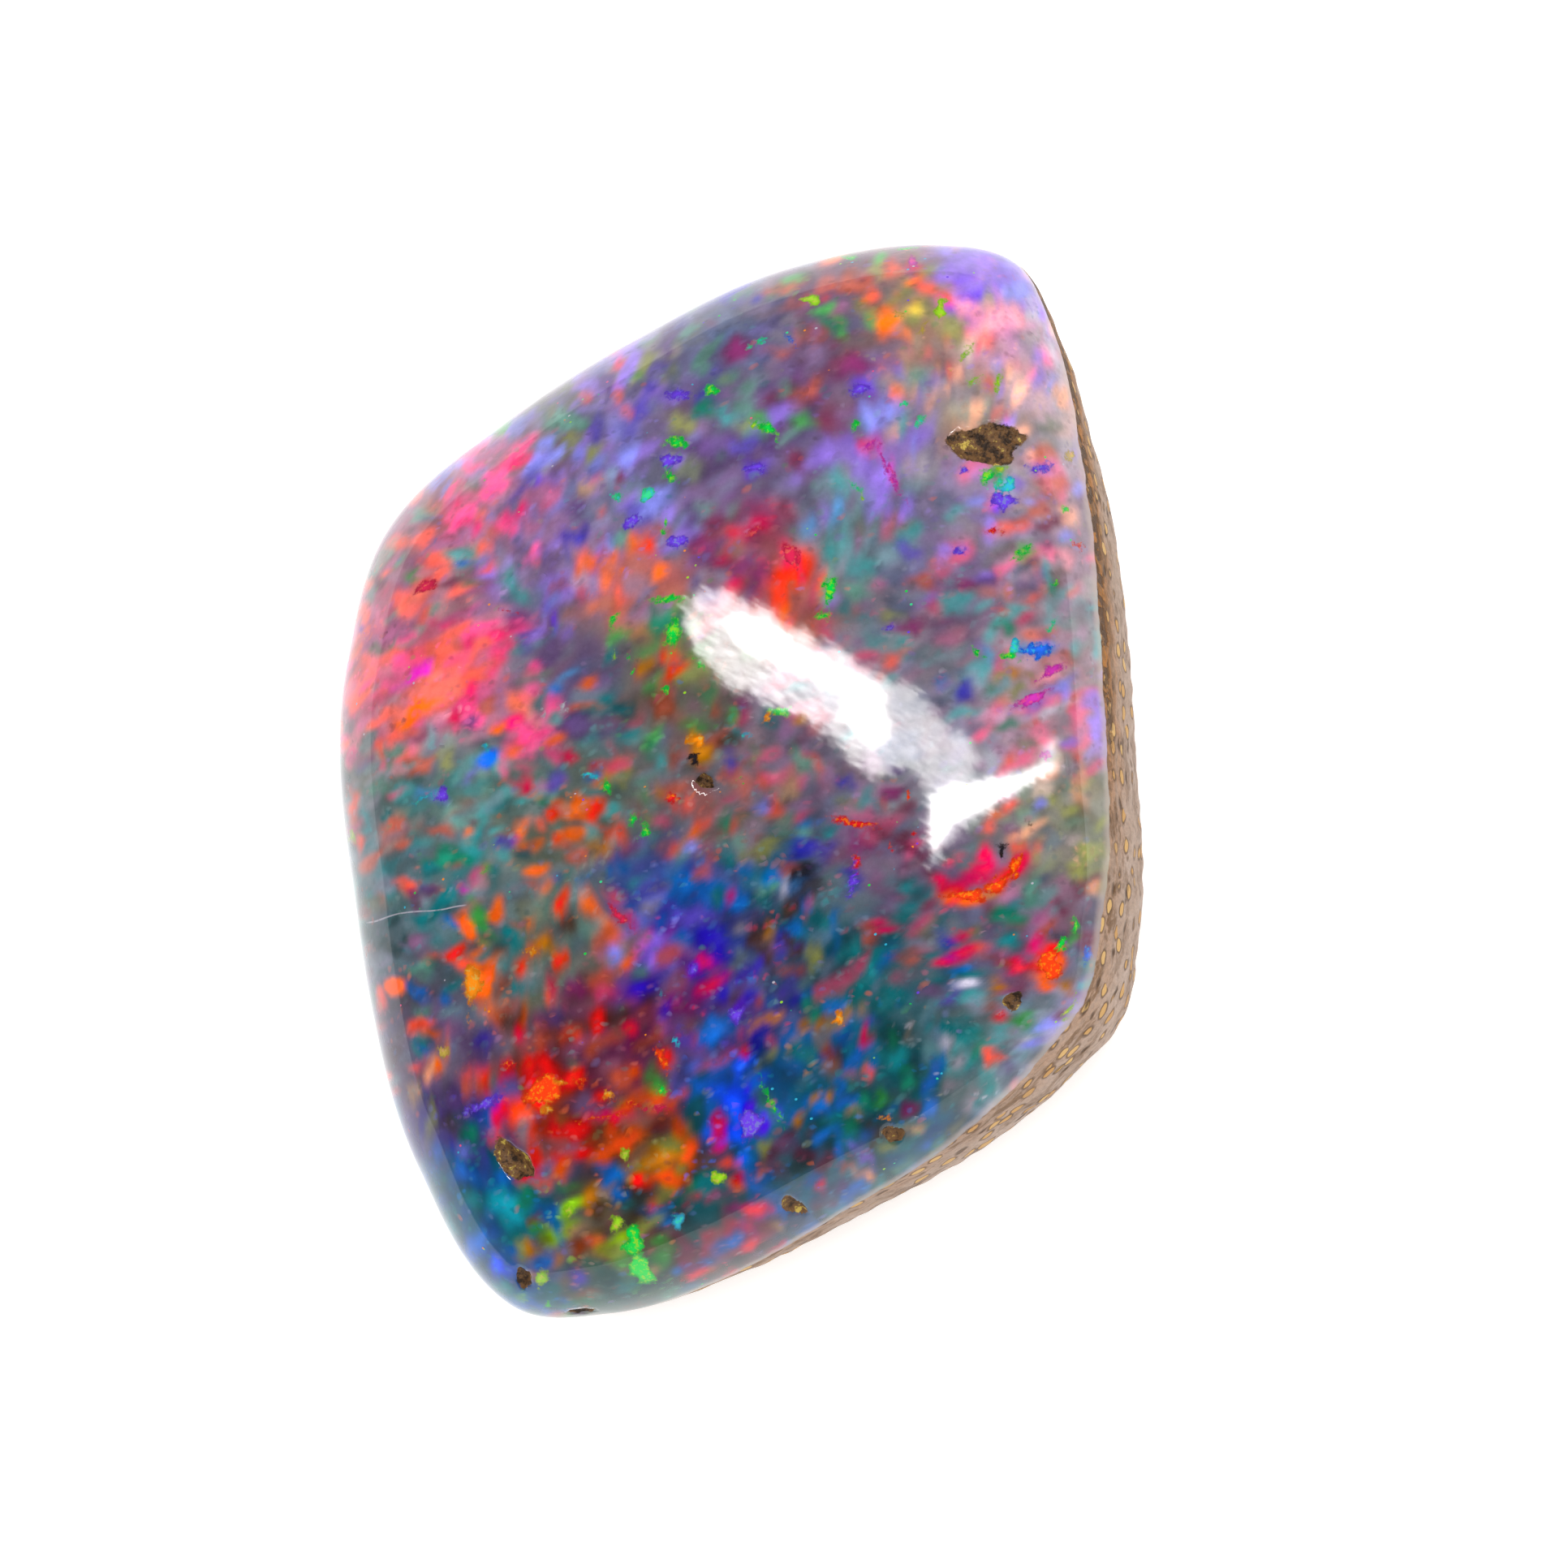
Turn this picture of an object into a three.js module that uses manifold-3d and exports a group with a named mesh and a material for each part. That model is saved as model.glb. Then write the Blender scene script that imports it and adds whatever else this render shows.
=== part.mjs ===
// Opal stone: a polished freeform of boulder opal, one natural piece, lying on its flat sawn back.
// Millimetres, +Z up. The face looks up, and +Y runs towards the narrow top end of the face.
// The origin is on the back, below the middle of the stone's box.

import * as THREE from "three";
import { mergeVertices } from "three/addons/utils/BufferGeometryUtils.js";
import Module from "manifold-3d";

// Driving dimensions
const HEIGHT = 6.2; // back to the top of the dome
const GIRDLE_HEIGHT = 2.3; // back to the widest line of the wall
const ROUND_ACROSS = 30; // radius of the dome's curve along X
const ROUND_ALONG = 56; // radius of the dome's curve along Y
const BACK_INSET = 0.16; // how much narrower the back is than the widest line, as a share
const WALL_BOW = 1.9; // exponent of the wall's curve from the widest line in to the back
const WAVE = 0.035; // height of the waves that hand polishing leaves on the face
const MIDDLE = { x: -0.1, y: -0.2 }; // where the spokes of the outline meet

// The shoulder between face and wall is tight on the side where the host rock shows
const SHOULDER_MIDDLE = 9;
const SHOULDER_SWING = 3;
const ROCK_SIDE = THREE.MathUtils.degToRad(-32);

// The widest line of the wall seen from above: direction in degrees from +X, distance from MIDDLE
const OUTLINE = [
  [0, 8.6],
  [20, 8.95],
  [40, 10.2],
  [52, 11.5],
  [60, 12.35],
  [68, 12.05],
  [82, 11.0],
  [100, 9.8],
  [120, 9.3],
  [142, 9.45],
  [160, 8.85],
  [190, 8.3],
  [210, 8.85],
  [230, 10.25],
  [246, 11.6],
  [256, 11.15],
  [270, 10.15],
  [286, 9.4],
  [304, 9.35],
  [320, 9.6],
  [328, 9.75],
  [338, 9.3],
];

// Hollows where specks of host rock weathered out of the polished skin. Each has its middle on the
// stone, its length and width, the direction of its length in degrees, and its depth. The height is
// the face's own unless it is given.
const HOLLOWS = [
  { x: 6.12, y: 6.12, long: 1.35, wide: 0.85, turn: 5, deep: 0.14 },
  { x: -3.85, y: -8.2, long: 1.05, wide: 0.55, turn: -42, deep: 0.22 },
  { x: 0.54, y: -0.77, long: 0.42, wide: 0.28, turn: -25, deep: 0.16 },
  { x: -4.03, y: -10.45, long: 0.38, wide: 0.32, turn: 60, deep: 0.14 },
  { x: 4.0, y: -7.9, long: 0.4, wide: 0.26, turn: 10, deep: 0.12 },
  { x: 1.75, y: -9.2, long: 0.4, wide: 0.26, turn: -10, deep: 0.12 },
  { x: 6.63, y: -5.36, long: 0.4, wide: 0.3, turn: 50, deep: 0.12 },
  { x: -3.15, y: -11.1, z: 2.75, long: 0.75, wide: 0.3, turn: 3, deep: 0.16 },
];
const HOLLOW_LUMP = 0.12; // how far a hollow's rim wanders from an oval, as a share
const HOLLOW_SIDES = 20;

// Fineness of the mesh
const SPOKES = 108;
const FACE_RINGS = 10;
const SHOULDER_RINGS = 12;
const SHOULDER_START = 0.78; // share of the way from the middle to the widest line
const WALL_RINGS = 7;

const TURN = 2 * Math.PI;
const spokes = OUTLINE.map(([degrees, distance]) => ({
  angle: THREE.MathUtils.degToRad(degrees),
  distance,
}));

// Spoke of the outline with any index, counted round the stone
function spoke(index) {
  const count = spokes.length;
  const rounds = Math.floor(index / count);
  const { angle, distance } = spokes[index - rounds * count];
  return { angle: angle + rounds * TURN, distance };
}

function slopeAt(index) {
  const before = spoke(index - 1);
  const after = spoke(index + 1);
  return (after.distance - before.distance) / (after.angle - before.angle);
}

// Distance from the middle to the widest line, on a smooth cubic through the outline's points
function outlineDistance(angle) {
  const turned = THREE.MathUtils.euclideanModulo(angle, TURN);
  const next = spokes.findIndex((point) => point.angle > turned);
  const index = next < 0 ? spokes.length - 1 : next - 1;
  const from = spoke(index);
  const to = spoke(index + 1);
  const step = to.angle - from.angle;
  const share = (turned - from.angle) / step;
  const square = share * share;
  const cube = square * share;
  return (
    (2 * cube - 3 * square + 1) * from.distance +
    (cube - 2 * square + share) * step * slopeAt(index) +
    (3 * square - 2 * cube) * to.distance +
    (cube - square) * step * slopeAt(index + 1)
  );
}

// Height of the face above the widest line, before it rounds over into the wall
function domeHeight(x, y) {
  const waves =
    Math.sin(0.42 * x + 0.9) * Math.cos(0.31 * y - 0.4) +
    Math.sin(0.27 * y + 0.23 * x + 2) -
    1;
  const bow = (x * x) / (2 * ROUND_ACROSS) + (y * y) / (2 * ROUND_ALONG);
  return HEIGHT - GIRDLE_HEIGHT - bow + WAVE * waves;
}

// Point of the face and shoulder at a share of the way from the middle to the widest line
function facePoint(share, angle) {
  const distance = share * outlineDistance(angle);
  const x = MIDDLE.x + distance * Math.cos(angle);
  const y = MIDDLE.y + distance * Math.sin(angle);
  const power = SHOULDER_MIDDLE + SHOULDER_SWING * Math.cos(angle - ROCK_SIDE);
  const shoulder = Math.sqrt(1 - share ** power);
  return new THREE.Vector3(x, y, GIRDLE_HEIGHT + domeHeight(x, y) * shoulder);
}

// Point of the wall at a share of the way down from the widest line to the back
function wallPoint(share, angle) {
  const distance = outlineDistance(angle) * (1 - BACK_INSET * share ** WALL_BOW);
  return new THREE.Vector3(
    MIDDLE.x + distance * Math.cos(angle),
    MIDDLE.y + distance * Math.sin(angle),
    GIRDLE_HEIGHT * (1 - share),
  );
}

// Height of the face above a point of the plan
function faceHeight(x, y) {
  const angle = Math.atan2(y - MIDDLE.y, x - MIDDLE.x);
  const distance = Math.hypot(x - MIDDLE.x, y - MIDDLE.y);
  return facePoint(distance / outlineDistance(angle), angle).z;
}

// Direction square to the face above a point of the plan
function faceNormal(x, y) {
  const reach = 0.1;
  const fallAcross = faceHeight(x - reach, y) - faceHeight(x + reach, y);
  const fallAlong = faceHeight(x, y - reach) - faceHeight(x, y + reach);
  return new THREE.Vector3(fallAcross, fallAlong, 2 * reach).normalize();
}

// The rings of the stone from the one round the top of the dome down to the rim of the back
function ringProfile() {
  const rings = [];
  for (let ring = 1; ring <= FACE_RINGS; ring += 1) {
    const share = (SHOULDER_START * ring) / FACE_RINGS;
    rings.push((angle) => facePoint(share, angle));
  }
  // The shoulder's rings draw together towards the widest line, where the surface turns fastest
  for (let ring = 1; ring <= SHOULDER_RINGS; ring += 1) {
    const left = 1 - ring / SHOULDER_RINGS;
    const share = 1 - (1 - SHOULDER_START) * left ** 2;
    rings.push((angle) => facePoint(share, angle));
  }
  for (let ring = 1; ring <= WALL_RINGS; ring += 1) {
    rings.push((angle) => wallPoint(ring / WALL_RINGS, angle));
  }
  return rings;
}

function stoneGeometry() {
  const rings = ringProfile();
  const points = [facePoint(0, 0)];
  for (const ring of rings) {
    for (let step = 0; step < SPOKES; step += 1) {
      points.push(ring((TURN * step) / SPOKES));
    }
  }
  const back = points.length;
  points.push(new THREE.Vector3(MIDDLE.x, MIDDLE.y, 0));

  const corner = (ring, step) => 1 + ring * SPOKES + (step % SPOKES);
  const faces = [];
  for (let step = 0; step < SPOKES; step += 1) {
    faces.push(0, corner(0, step), corner(0, step + 1));
    for (let ring = 0; ring < rings.length - 1; ring += 1) {
      const here = corner(ring, step);
      const beside = corner(ring, step + 1);
      const below = corner(ring + 1, step);
      const across = corner(ring + 1, step + 1);
      faces.push(here, below, across, here, across, beside);
    }
    faces.push(back, corner(rings.length - 1, step + 1), corner(rings.length - 1, step));
  }
  const geometry = new THREE.BufferGeometry().setFromPoints(points);
  geometry.setIndex(faces);
  return geometry;
}

// A lumpy oval bowl that takes one hollow out of the skin
function hollowGeometry({ x, y, z, long, wide, turn, deep }) {
  const bowl = new THREE.SphereGeometry(1, HOLLOW_SIDES, HOLLOW_SIDES / 2);
  bowl.rotateX(Math.PI / 2);
  const position = bowl.attributes.position;
  const point = new THREE.Vector3();
  for (let index = 0; index < position.count; index += 1) {
    point.fromBufferAttribute(position, index);
    const round = Math.atan2(point.y, point.x);
    const level = Math.hypot(point.x, point.y);
    const lump = Math.sin(3 * round + 5 * x) + 0.6 * Math.sin(5 * round - 4 * y);
    point.multiplyScalar(1 + HOLLOW_LUMP * level * lump);
    position.setXYZ(index, point.x, point.y, point.z);
  }
  bowl.scale(long / 2, wide / 2, deep);
  bowl.rotateZ(THREE.MathUtils.degToRad(turn));
  if (z === undefined) {
    const up = new THREE.Vector3(0, 0, 1);
    bowl.applyQuaternion(new THREE.Quaternion().setFromUnitVectors(up, faceNormal(x, y)));
    bowl.translate(x, y, faceHeight(x, y));
  } else {
    bowl.translate(x, y, z);
  }
  return bowl;
}

const wasm = await Module();
wasm.setup();

// A closed geometry as a solid
function solidOf(geometry) {
  const bare = geometry.clone();
  bare.deleteAttribute("normal");
  bare.deleteAttribute("uv");
  const merged = mergeVertices(bare, 1e-5);
  return new wasm.Manifold(
    new wasm.Mesh({
      numProp: 3,
      vertProperties: merged.attributes.position.array,
      triVerts: new Uint32Array(merged.index.array),
    }),
  );
}

// A solid as a geometry with flat faces
function geometryOf(solid) {
  const { vertProperties, triVerts } = solid.getMesh();
  const geometry = new THREE.BufferGeometry();
  geometry.setAttribute("position", new THREE.BufferAttribute(vertProperties, 3));
  geometry.setIndex(new THREE.BufferAttribute(triVerts, 1));
  geometry.computeVertexNormals();
  return geometry;
}

function opalStone() {
  let solid = solidOf(stoneGeometry());
  for (const hollow of HOLLOWS) {
    solid = solid.subtract(solidOf(hollowGeometry(hollow)));
  }
  const polishedOpal = new THREE.MeshStandardMaterial({
    color: 0x82788a,
    roughness: 0.08,
    metalness: 0,
  });
  const stone = new THREE.Mesh(geometryOf(solid), polishedOpal);
  stone.name = "opal_stone";
  return stone;
}

const part = new THREE.Group();
part.add(opalStone());

export default part;
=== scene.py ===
import math

import bpy
import numpy as np
from mathutils import Matrix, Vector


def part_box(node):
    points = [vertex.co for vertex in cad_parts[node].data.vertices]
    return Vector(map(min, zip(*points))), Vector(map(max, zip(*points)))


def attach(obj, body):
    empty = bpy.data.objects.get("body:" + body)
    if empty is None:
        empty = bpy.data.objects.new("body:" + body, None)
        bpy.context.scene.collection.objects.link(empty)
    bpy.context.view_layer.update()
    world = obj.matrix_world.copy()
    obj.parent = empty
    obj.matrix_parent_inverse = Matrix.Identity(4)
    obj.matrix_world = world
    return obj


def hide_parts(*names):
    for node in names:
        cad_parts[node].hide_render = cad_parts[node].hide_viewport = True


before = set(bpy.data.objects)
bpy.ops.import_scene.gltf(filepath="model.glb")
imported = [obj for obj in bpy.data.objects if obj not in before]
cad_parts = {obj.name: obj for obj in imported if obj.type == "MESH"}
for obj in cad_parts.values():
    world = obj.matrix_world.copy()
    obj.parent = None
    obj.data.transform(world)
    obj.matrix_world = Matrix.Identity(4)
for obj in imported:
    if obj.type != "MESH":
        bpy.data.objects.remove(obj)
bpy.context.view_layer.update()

# A polished freeform of boulder opal on a white table, seen from above. The stone is worked out in
# millimetres, in the frame of the CAD model: +Z up, the flat back at 0, +Y towards the narrow end.
MM = 0.001

# Form of the stone, as in the CAD model
HEIGHT = 6.2
GIRDLE_HEIGHT = 2.3
ROUND_ACROSS = 30
ROUND_ALONG = 56
BACK_INSET = 0.16
WALL_BOW = 1.9
WAVE = 0.035
MIDDLE = (-0.1, -0.2)
SHOULDER_MIDDLE = 9
SHOULDER_SWING = 3
ROCK_SIDE = math.radians(-32)
SHOULDER_START = 0.78
OUTLINE = [
    (0, 8.6), (20, 8.95), (40, 10.2), (52, 11.5), (60, 12.35), (68, 12.05), (82, 11.0), (100, 9.8),
    (120, 9.3), (142, 9.45), (160, 8.85), (190, 8.3), (210, 8.85), (230, 10.25), (246, 11.6),
    (256, 11.15), (270, 10.15), (286, 9.4), (304, 9.35), (320, 9.6), (328, 9.75), (338, 9.3),
]

# Hollows in the polished skin: middle x and y, length, width, direction of the length, depth
HOLLOWS = [
    (6.12, 6.12, 1.35, 0.85, 5, 0.14),
    (-3.85, -8.2, 1.05, 0.55, -42, 0.22),
    (0.54, -0.77, 0.42, 0.28, -25, 0.16),
    (-4.03, -10.45, 0.38, 0.32, 60, 0.14),
    (4.0, -7.9, 0.4, 0.26, 10, 0.12),
    (1.75, -9.2, 0.4, 0.26, -10, 0.12),
    (6.63, -5.36, 0.4, 0.3, 50, 0.12),
]
RIM_HOLLOW = (-3.15, -11.1, 2.75)
RIM_HOLLOW_SIZE = (0.75, 0.3, 0.32)
HOLLOW_LUMP = 0.12

# The window that the face mirrors: outlines of its whole light and of its brightest parts, in
# millimetres across and up the view. Then how far from the stone it stands, the step of its mesh,
# how strongly its light and its brightest parts glow, and the direction of its strokes in degrees.
WINDOW = [
    (-1.60, 4.10), (-1.94, 3.77), (-2.05, 3.33), (-1.88, 2.89), (-1.55, 2.44), (-1.16, 2.06),
    (-0.66, 1.78), (-0.05, 1.56), (0.50, 1.34), (0.83, 1.06), (1.27, 0.62), (1.60, 0.29), (1.93, 0.10),
    (2.16, 0.23), (2.43, 0.40), (2.71, 0.18), (2.96, -0.21), (2.94, -0.71), (2.93, -1.26), (2.96, -1.70),
    (3.21, -1.43), (3.54, -1.09), (3.93, -0.76), (4.37, -0.43), (4.87, -0.10), (5.36, 0.18), (5.75, 0.40),
    (5.92, 0.54), (5.94, 1.06), (5.80, 0.95), (5.64, 0.62), (5.31, 0.43), (4.87, 0.23), (4.37, 0.12),
    (3.90, 0.12), (4.00, 0.50), (3.85, 0.85), (3.55, 1.05), (3.26, 1.28), (2.87, 1.73), (2.49, 2.11),
    (2.05, 2.14), (1.71, 2.39), (1.33, 2.66), (0.72, 2.94), (0.17, 3.22), (-0.39, 3.55), (-1.00, 3.88),
]
WINDOW_BRIGHTEST = [
    [
        (-1.22, 3.38), (-0.88, 3.49), (-0.39, 3.27), (0.11, 3.00), (0.39, 2.72), (0.83, 2.56), (1.38, 2.28),
        (1.82, 2.06), (2.05, 1.84), (1.99, 1.51), (1.60, 1.61), (1.05, 1.89), (0.50, 2.22), (-0.05, 2.44),
        (-0.61, 2.67), (-1.05, 3.00),
    ],
    [
        (1.20, 1.80), (1.95, 1.60), (2.15, 1.25), (2.05, 0.90), (1.80, 0.75), (1.50, 1.00), (1.15, 1.40),
    ],
    [
        (2.99, -0.27), (3.37, -0.04), (3.93, 0.01), (4.87, 0.18), (5.31, 0.38), (5.66, 0.60), (5.89, 1.01),
        (5.88, 0.60), (5.36, 0.22), (4.87, -0.05), (4.37, -0.37), (3.93, -0.55), (3.48, -0.80), (3.04, -1.40),
    ],
]
WINDOW_AWAY = 160
WINDOW_STEP = 0.06
WINDOW_GLOW = 31
WINDOW_BRIGHT = 45
WINDOW_SLANT = -28

# The plane on which the opal sits on its host rock: its height, how it climbs along X and Y, the
# least height of rock at the back, and how far the rock bulges above the plane at its upper end
CONTACT_HEIGHT = 1.71
CONTACT_ALONG_X = 0.229
CONTACT_ALONG_Y = -0.070
CONTACT_LEAST = 0.7
CONTACT_BULGE = 0.20

# How deep the rock's skin is worn, and the distance from the middle at which lengths round the rim
# are true
ROCK_WEAR = 0.04
RIM_REACH = 9.0

# Fineness of the mesh
HALF_GRID = 140
FACE_RINGS = 92
WALL_RINGS = 16
BACK_RINGS = 2

# The view: the photograph's frame is square and FIELD wide at the aim point
TILT = math.radians(20)
TURN = math.radians(-32)
LENS = 200
SENSOR = 36
FIELD = 32.2
AIM = np.array([1.245, -0.30, 3.0])

# How bright white paper lies under the lights, which the stone's colours are divided by
LIGHT_LEVEL = 1.6

# How much light the table gives off itself, which softens the shadow on it
FLOOR_GLOW = 0.35

# Colours of the stone as they look on a screen, from 0 to 255
COLOURS = {
    "crimson": (228, 40, 85),
    "red": (238, 32, 38),
    "scarlet": (255, 66, 16),
    "orange": (250, 112, 34),
    "tangerine": (255, 146, 22),
    "coral": (238, 104, 88),
    "peach": (226, 160, 130),
    "amber": (192, 124, 22),
    "gold": (214, 184, 84),
    "lime": (160, 222, 40),
    "green": (14, 216, 72),
    "leaf": (74, 158, 78),
    "mint": (60, 225, 150),
    "olive": (140, 142, 88),
    "sage": (98, 142, 128),
    "teal": (14, 124, 130),
    "sea": (70, 150, 152),
    "cyan": (56, 188, 224),
    "azure": (18, 112, 190),
    "blue": (44, 112, 246),
    "indigo": (68, 62, 182),
    "periwinkle": (128, 132, 212),
    "violet": (112, 68, 232),
    "lilac": (138, 112, 202),
    "purple": (98, 74, 126),
    "magenta": (216, 60, 186),
    "pink": (244, 88, 140),
    "rose": (196, 90, 118),
    "wine": (122, 52, 78),
    "brick": (184, 96, 80),
    "umber": (92, 60, 42),
    "ink": (44, 38, 44),
    "deep": (18, 72, 78),
    "dove": (140, 132, 142),
    "pearl": (196, 190, 204),
    "slate": (98, 104, 128),
    "dusk": (112, 92, 124),
    "mauve": (140, 104, 134),
    "moss": (112, 116, 102),
    "fog": (108, 122, 130),
    "lagoon": (26, 98, 108),
    "sand": (204, 182, 168),
    "clay": (166, 134, 108),
    "grain": (228, 184, 116),
    "straw": (206, 152, 84),
    "ochre": (178, 112, 28),
    "pore": (86, 58, 34),
    "soil": (50, 34, 22),
    "bark": (120, 84, 48),
    "hot": (248, 56, 112),
    "salmon": (226, 112, 98),
    "blush": (240, 156, 170),
    "sky": (92, 150, 205),
    "cove": (0, 150, 165),
    "rust": (158, 72, 44),
    "plum": (132, 52, 104),
    "jade": (34, 132, 104),
    "iris": (92, 80, 170),
    "mallow": (166, 100, 136),
}

# Zones of the play of colour: middle across and up the view, reach, then the colours of the body,
# of most flakes and of the rest, how strongly they play, and how milky the opal is
ZONES = [
    (4.4, 10.4, 1.3, "lilac", "violet", "periwinkle", 0.5, 0.7),
    (4.3, 9.2, 1.1, "mauve", "pink", "peach", 0.6, 0.7),
    (2.6, 9.8, 1.2, "moss", "orange", "olive", 0.7, 0.3),
    (0.9, 10.0, 1.2, "dusk", "brick", "leaf", 0.6, 0.2),
    (-1.2, 9.3, 1.4, "slate", "indigo", "sage", 0.5, 0.2),
    (-3.2, 8.2, 1.2, "dusk", "lilac", "olive", 0.6, 0.3),
    (-4.6, 7.3, 0.9, "slate", "moss", "lilac", 0.5, 0.3),
    (-5.8, 6.3, 1.3, "mauve", "pink", "periwinkle", 0.7, 0.4),
    (-7.4, 4.6, 1.1, "mauve", "coral", "sage", 0.7, 0.3),
    (-5.0, 4.6, 1.3, "mauve", "lilac", "slate", 0.6, 0.4),
    (-3.3, 5.8, 1.4, "slate", "lilac", "periwinkle", 0.7, 0.4),
    (-3.4, 4.3, 1.0, "brick", "orange", "slate", 0.6, 0.4),
    (-0.6, 7.0, 1.7, "purple", "dusk", "sage", 0.6, 0.2),
    (0.6, 8.0, 1.1, "purple", "wine", "lilac", 0.5, 0.2),
    (-0.8, 5.1, 1.0, "wine", "crimson", "purple", 0.6, 0.2),
    (0.2, 4.2, 0.9, "brick", "scarlet", "rose", 0.8, 0.2),
    (1.6, 5.0, 1.2, "fog", "sea", "dusk", 0.6, 0.3),
    (2.1, 7.0, 1.3, "dusk", "lilac", "sage", 0.7, 0.4),
    (3.6, 8.0, 1.1, "moss", "peach", "sage", 0.6, 0.5),
    (5.2, 7.7, 1.1, "dove", "peach", "lilac", 0.5, 0.8),
    (5.0, 5.5, 1.4, "dove", "rose", "periwinkle", 0.7, 0.6),
    (3.4, 4.8, 1.4, "dusk", "lilac", "rose", 0.5, 0.4),
    (5.4, 3.6, 1.2, "dove", "brick", "sea", 0.6, 0.5),
    (3.2, 3.2, 1.3, "slate", "rose", "sea", 0.5, 0.5),
    (-7.0, 2.0, 1.2, "rose", "pink", "coral", 1.0, 0.4),
    (-5.2, 1.2, 0.9, "mauve", "pink", "orange", 0.7, 0.3),
    (-4.6, 2.8, 0.9, "dusk", "purple", "sea", 0.5, 0.2),
    (-3.6, 1.4, 1.0, "fog", "teal", "rose", 0.6, 0.2),
    (-2.3, 2.0, 1.1, "moss", "brick", "leaf", 0.8, 0.1),
    (-6.6, -0.3, 1.4, "moss", "sea", "slate", 0.5, 0.3),
    (-4.2, -0.7, 1.4, "moss", "sea", "orange", 0.6, 0.2),
    (-7.5, -2.0, 1.4, "fog", "teal", "brick", 0.6, 0.2),
    (-6.0, -3.6, 1.2, "fog", "teal", "orange", 0.6, 0.1),
    (-4.6, -3.6, 1.3, "moss", "sage", "orange", 0.6, 0.1),
    (-1.4, -0.6, 1.3, "fog", "brick", "sage", 0.7, 0.2),
    (0.6, 0.6, 1.3, "slate", "rose", "teal", 0.6, 0.3),
    (-2.2, -2.6, 1.3, "indigo", "azure", "periwinkle", 0.8, 0.1),
    (-1.2, -4.2, 1.4, "purple", "indigo", "crimson", 0.7, 0.1),
    (0.4, -2.6, 1.2, "lagoon", "azure", "purple", 0.6, 0.2),
    (2.3, -1.6, 1.3, "dusk", "wine", "slate", 0.6, 0.4),
    (3.0, 1.0, 1.6, "dove", "slate", "sea", 0.5, 0.7),
    (5.0, 1.2, 1.2, "dove", "rose", "lilac", 0.6, 0.7),
    (5.2, -0.7, 1.1, "moss", "olive", "peach", 0.5, 0.6),
    (4.2, -2.6, 1.3, "dusk", "crimson", "slate", 0.7, 0.3),
    (5.5, -3.4, 1.0, "slate", "wine", "sea", 0.7, 0.3),
    (2.0, -3.6, 1.4, "lagoon", "teal", "rose", 0.7, 0.2),
    (-7.4, -5.0, 1.2, "dusk", "slate", "coral", 0.5, 0.2),
    (-4.9, -6.4, 1.0, "rust", "scarlet", "dusk", 0.9, 0.0),
    (-6.7, -7.0, 0.9, "purple", "indigo", "teal", 0.7, 0.1),
    (-3.6, -5.0, 1.4, "plum", "brick", "umber", 0.6, 0.0),
    (-2.7, -7.5, 1.1, "umber", "orange", "olive", 0.7, 0.0),
    (-6.0, -8.9, 1.4, "azure", "teal", "azure", 0.9, 0.0),
    (-4.2, -9.2, 0.9, "moss", "amber", "lime", 0.7, 0.0),
    (-3.0, -10.2, 1.0, "lagoon", "leaf", "brick", 0.6, 0.0),
    (-1.3, -6.6, 1.0, "azure", "blue", "violet", 0.9, 0.0),
    (-1.6, -9.0, 1.1, "lagoon", "crimson", "azure", 0.6, 0.0),
    (0.6, -5.2, 1.2, "lagoon", "azure", "amber", 0.7, 0.0),
    (2.4, -6.0, 1.6, "lagoon", "teal", "azure", 0.8, 0.0),
    (0.6, -7.8, 1.1, "lagoon", "azure", "wine", 0.6, 0.1),
    (4.2, -5.4, 1.2, "fog", "sea", "pearl", 0.6, 0.5),
    (5.6, -5.0, 0.9, "dove", "periwinkle", "peach", 0.5, 0.7),
]

# Layers of flakes, from the deepest: direction, length, width, reach from the flake's middle and
# softness of its edge as shares of its size, how many there are, how strongly they show, and how
# many of them are vivid
FLAKES = [
    (34, 1.60, 0.90, 0.70, 0.22, 1.00, 0.60, 0.15),
    (-50, 0.95, 0.60, 0.55, 0.20, 0.70, 0.60, 0.20),
    (32, 0.90, 0.36, 0.55, 0.18, 0.70, 0.75, 0.40),
    (75, 0.55, 0.34, 0.52, 0.17, 0.50, 0.75, 0.35),
    (30, 0.55, 0.24, 0.50, 0.16, 0.45, 0.85, 0.45),
]
# Finer flakes near the skin: direction, length, width and how many there are
FINE_FLAKES = [(35, 0.30, 0.17, 0.35), (0, 0.19, 0.13, 0.25)]
# Flakes inside the patches: direction, length and width
PATCH_FLAKES = (30, 0.34, 0.20)
# How far flakes reach along the line of sight, and the light that deepening leaves as it is
FLAKE_DEPTH = 1.2
MEAN_LIGHT = 0.13

# Colours of dull flakes, of the few that stray from their zone, and of the finest sparks
DULLS = ["moss", "fog", "dusk", "mauve", "slate", "dove", "purple", "sage", "umber", "lagoon"]
STRAYS = ["coral", "teal", "lilac", "leaf", "orange", "azure", "rose", "olive", "sea", "periwinkle"]
SPARKS = ["green", "lime", "cyan", "pink", "tangerine", "mint", "violet", "pearl"]

# The colour that the grains in a flash light up in
CORES = {
    "ink": "soil", "crimson": "coral", "magenta": "pink", "violet": "periwinkle", "blue": "cyan",
    "cyan": "mint", "red": "tangerine", "scarlet": "tangerine", "tangerine": "gold", "gold": "peach",
    "lime": "gold", "mint": "cyan", "green": "lime", "pearl": "pearl",
}

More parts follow.
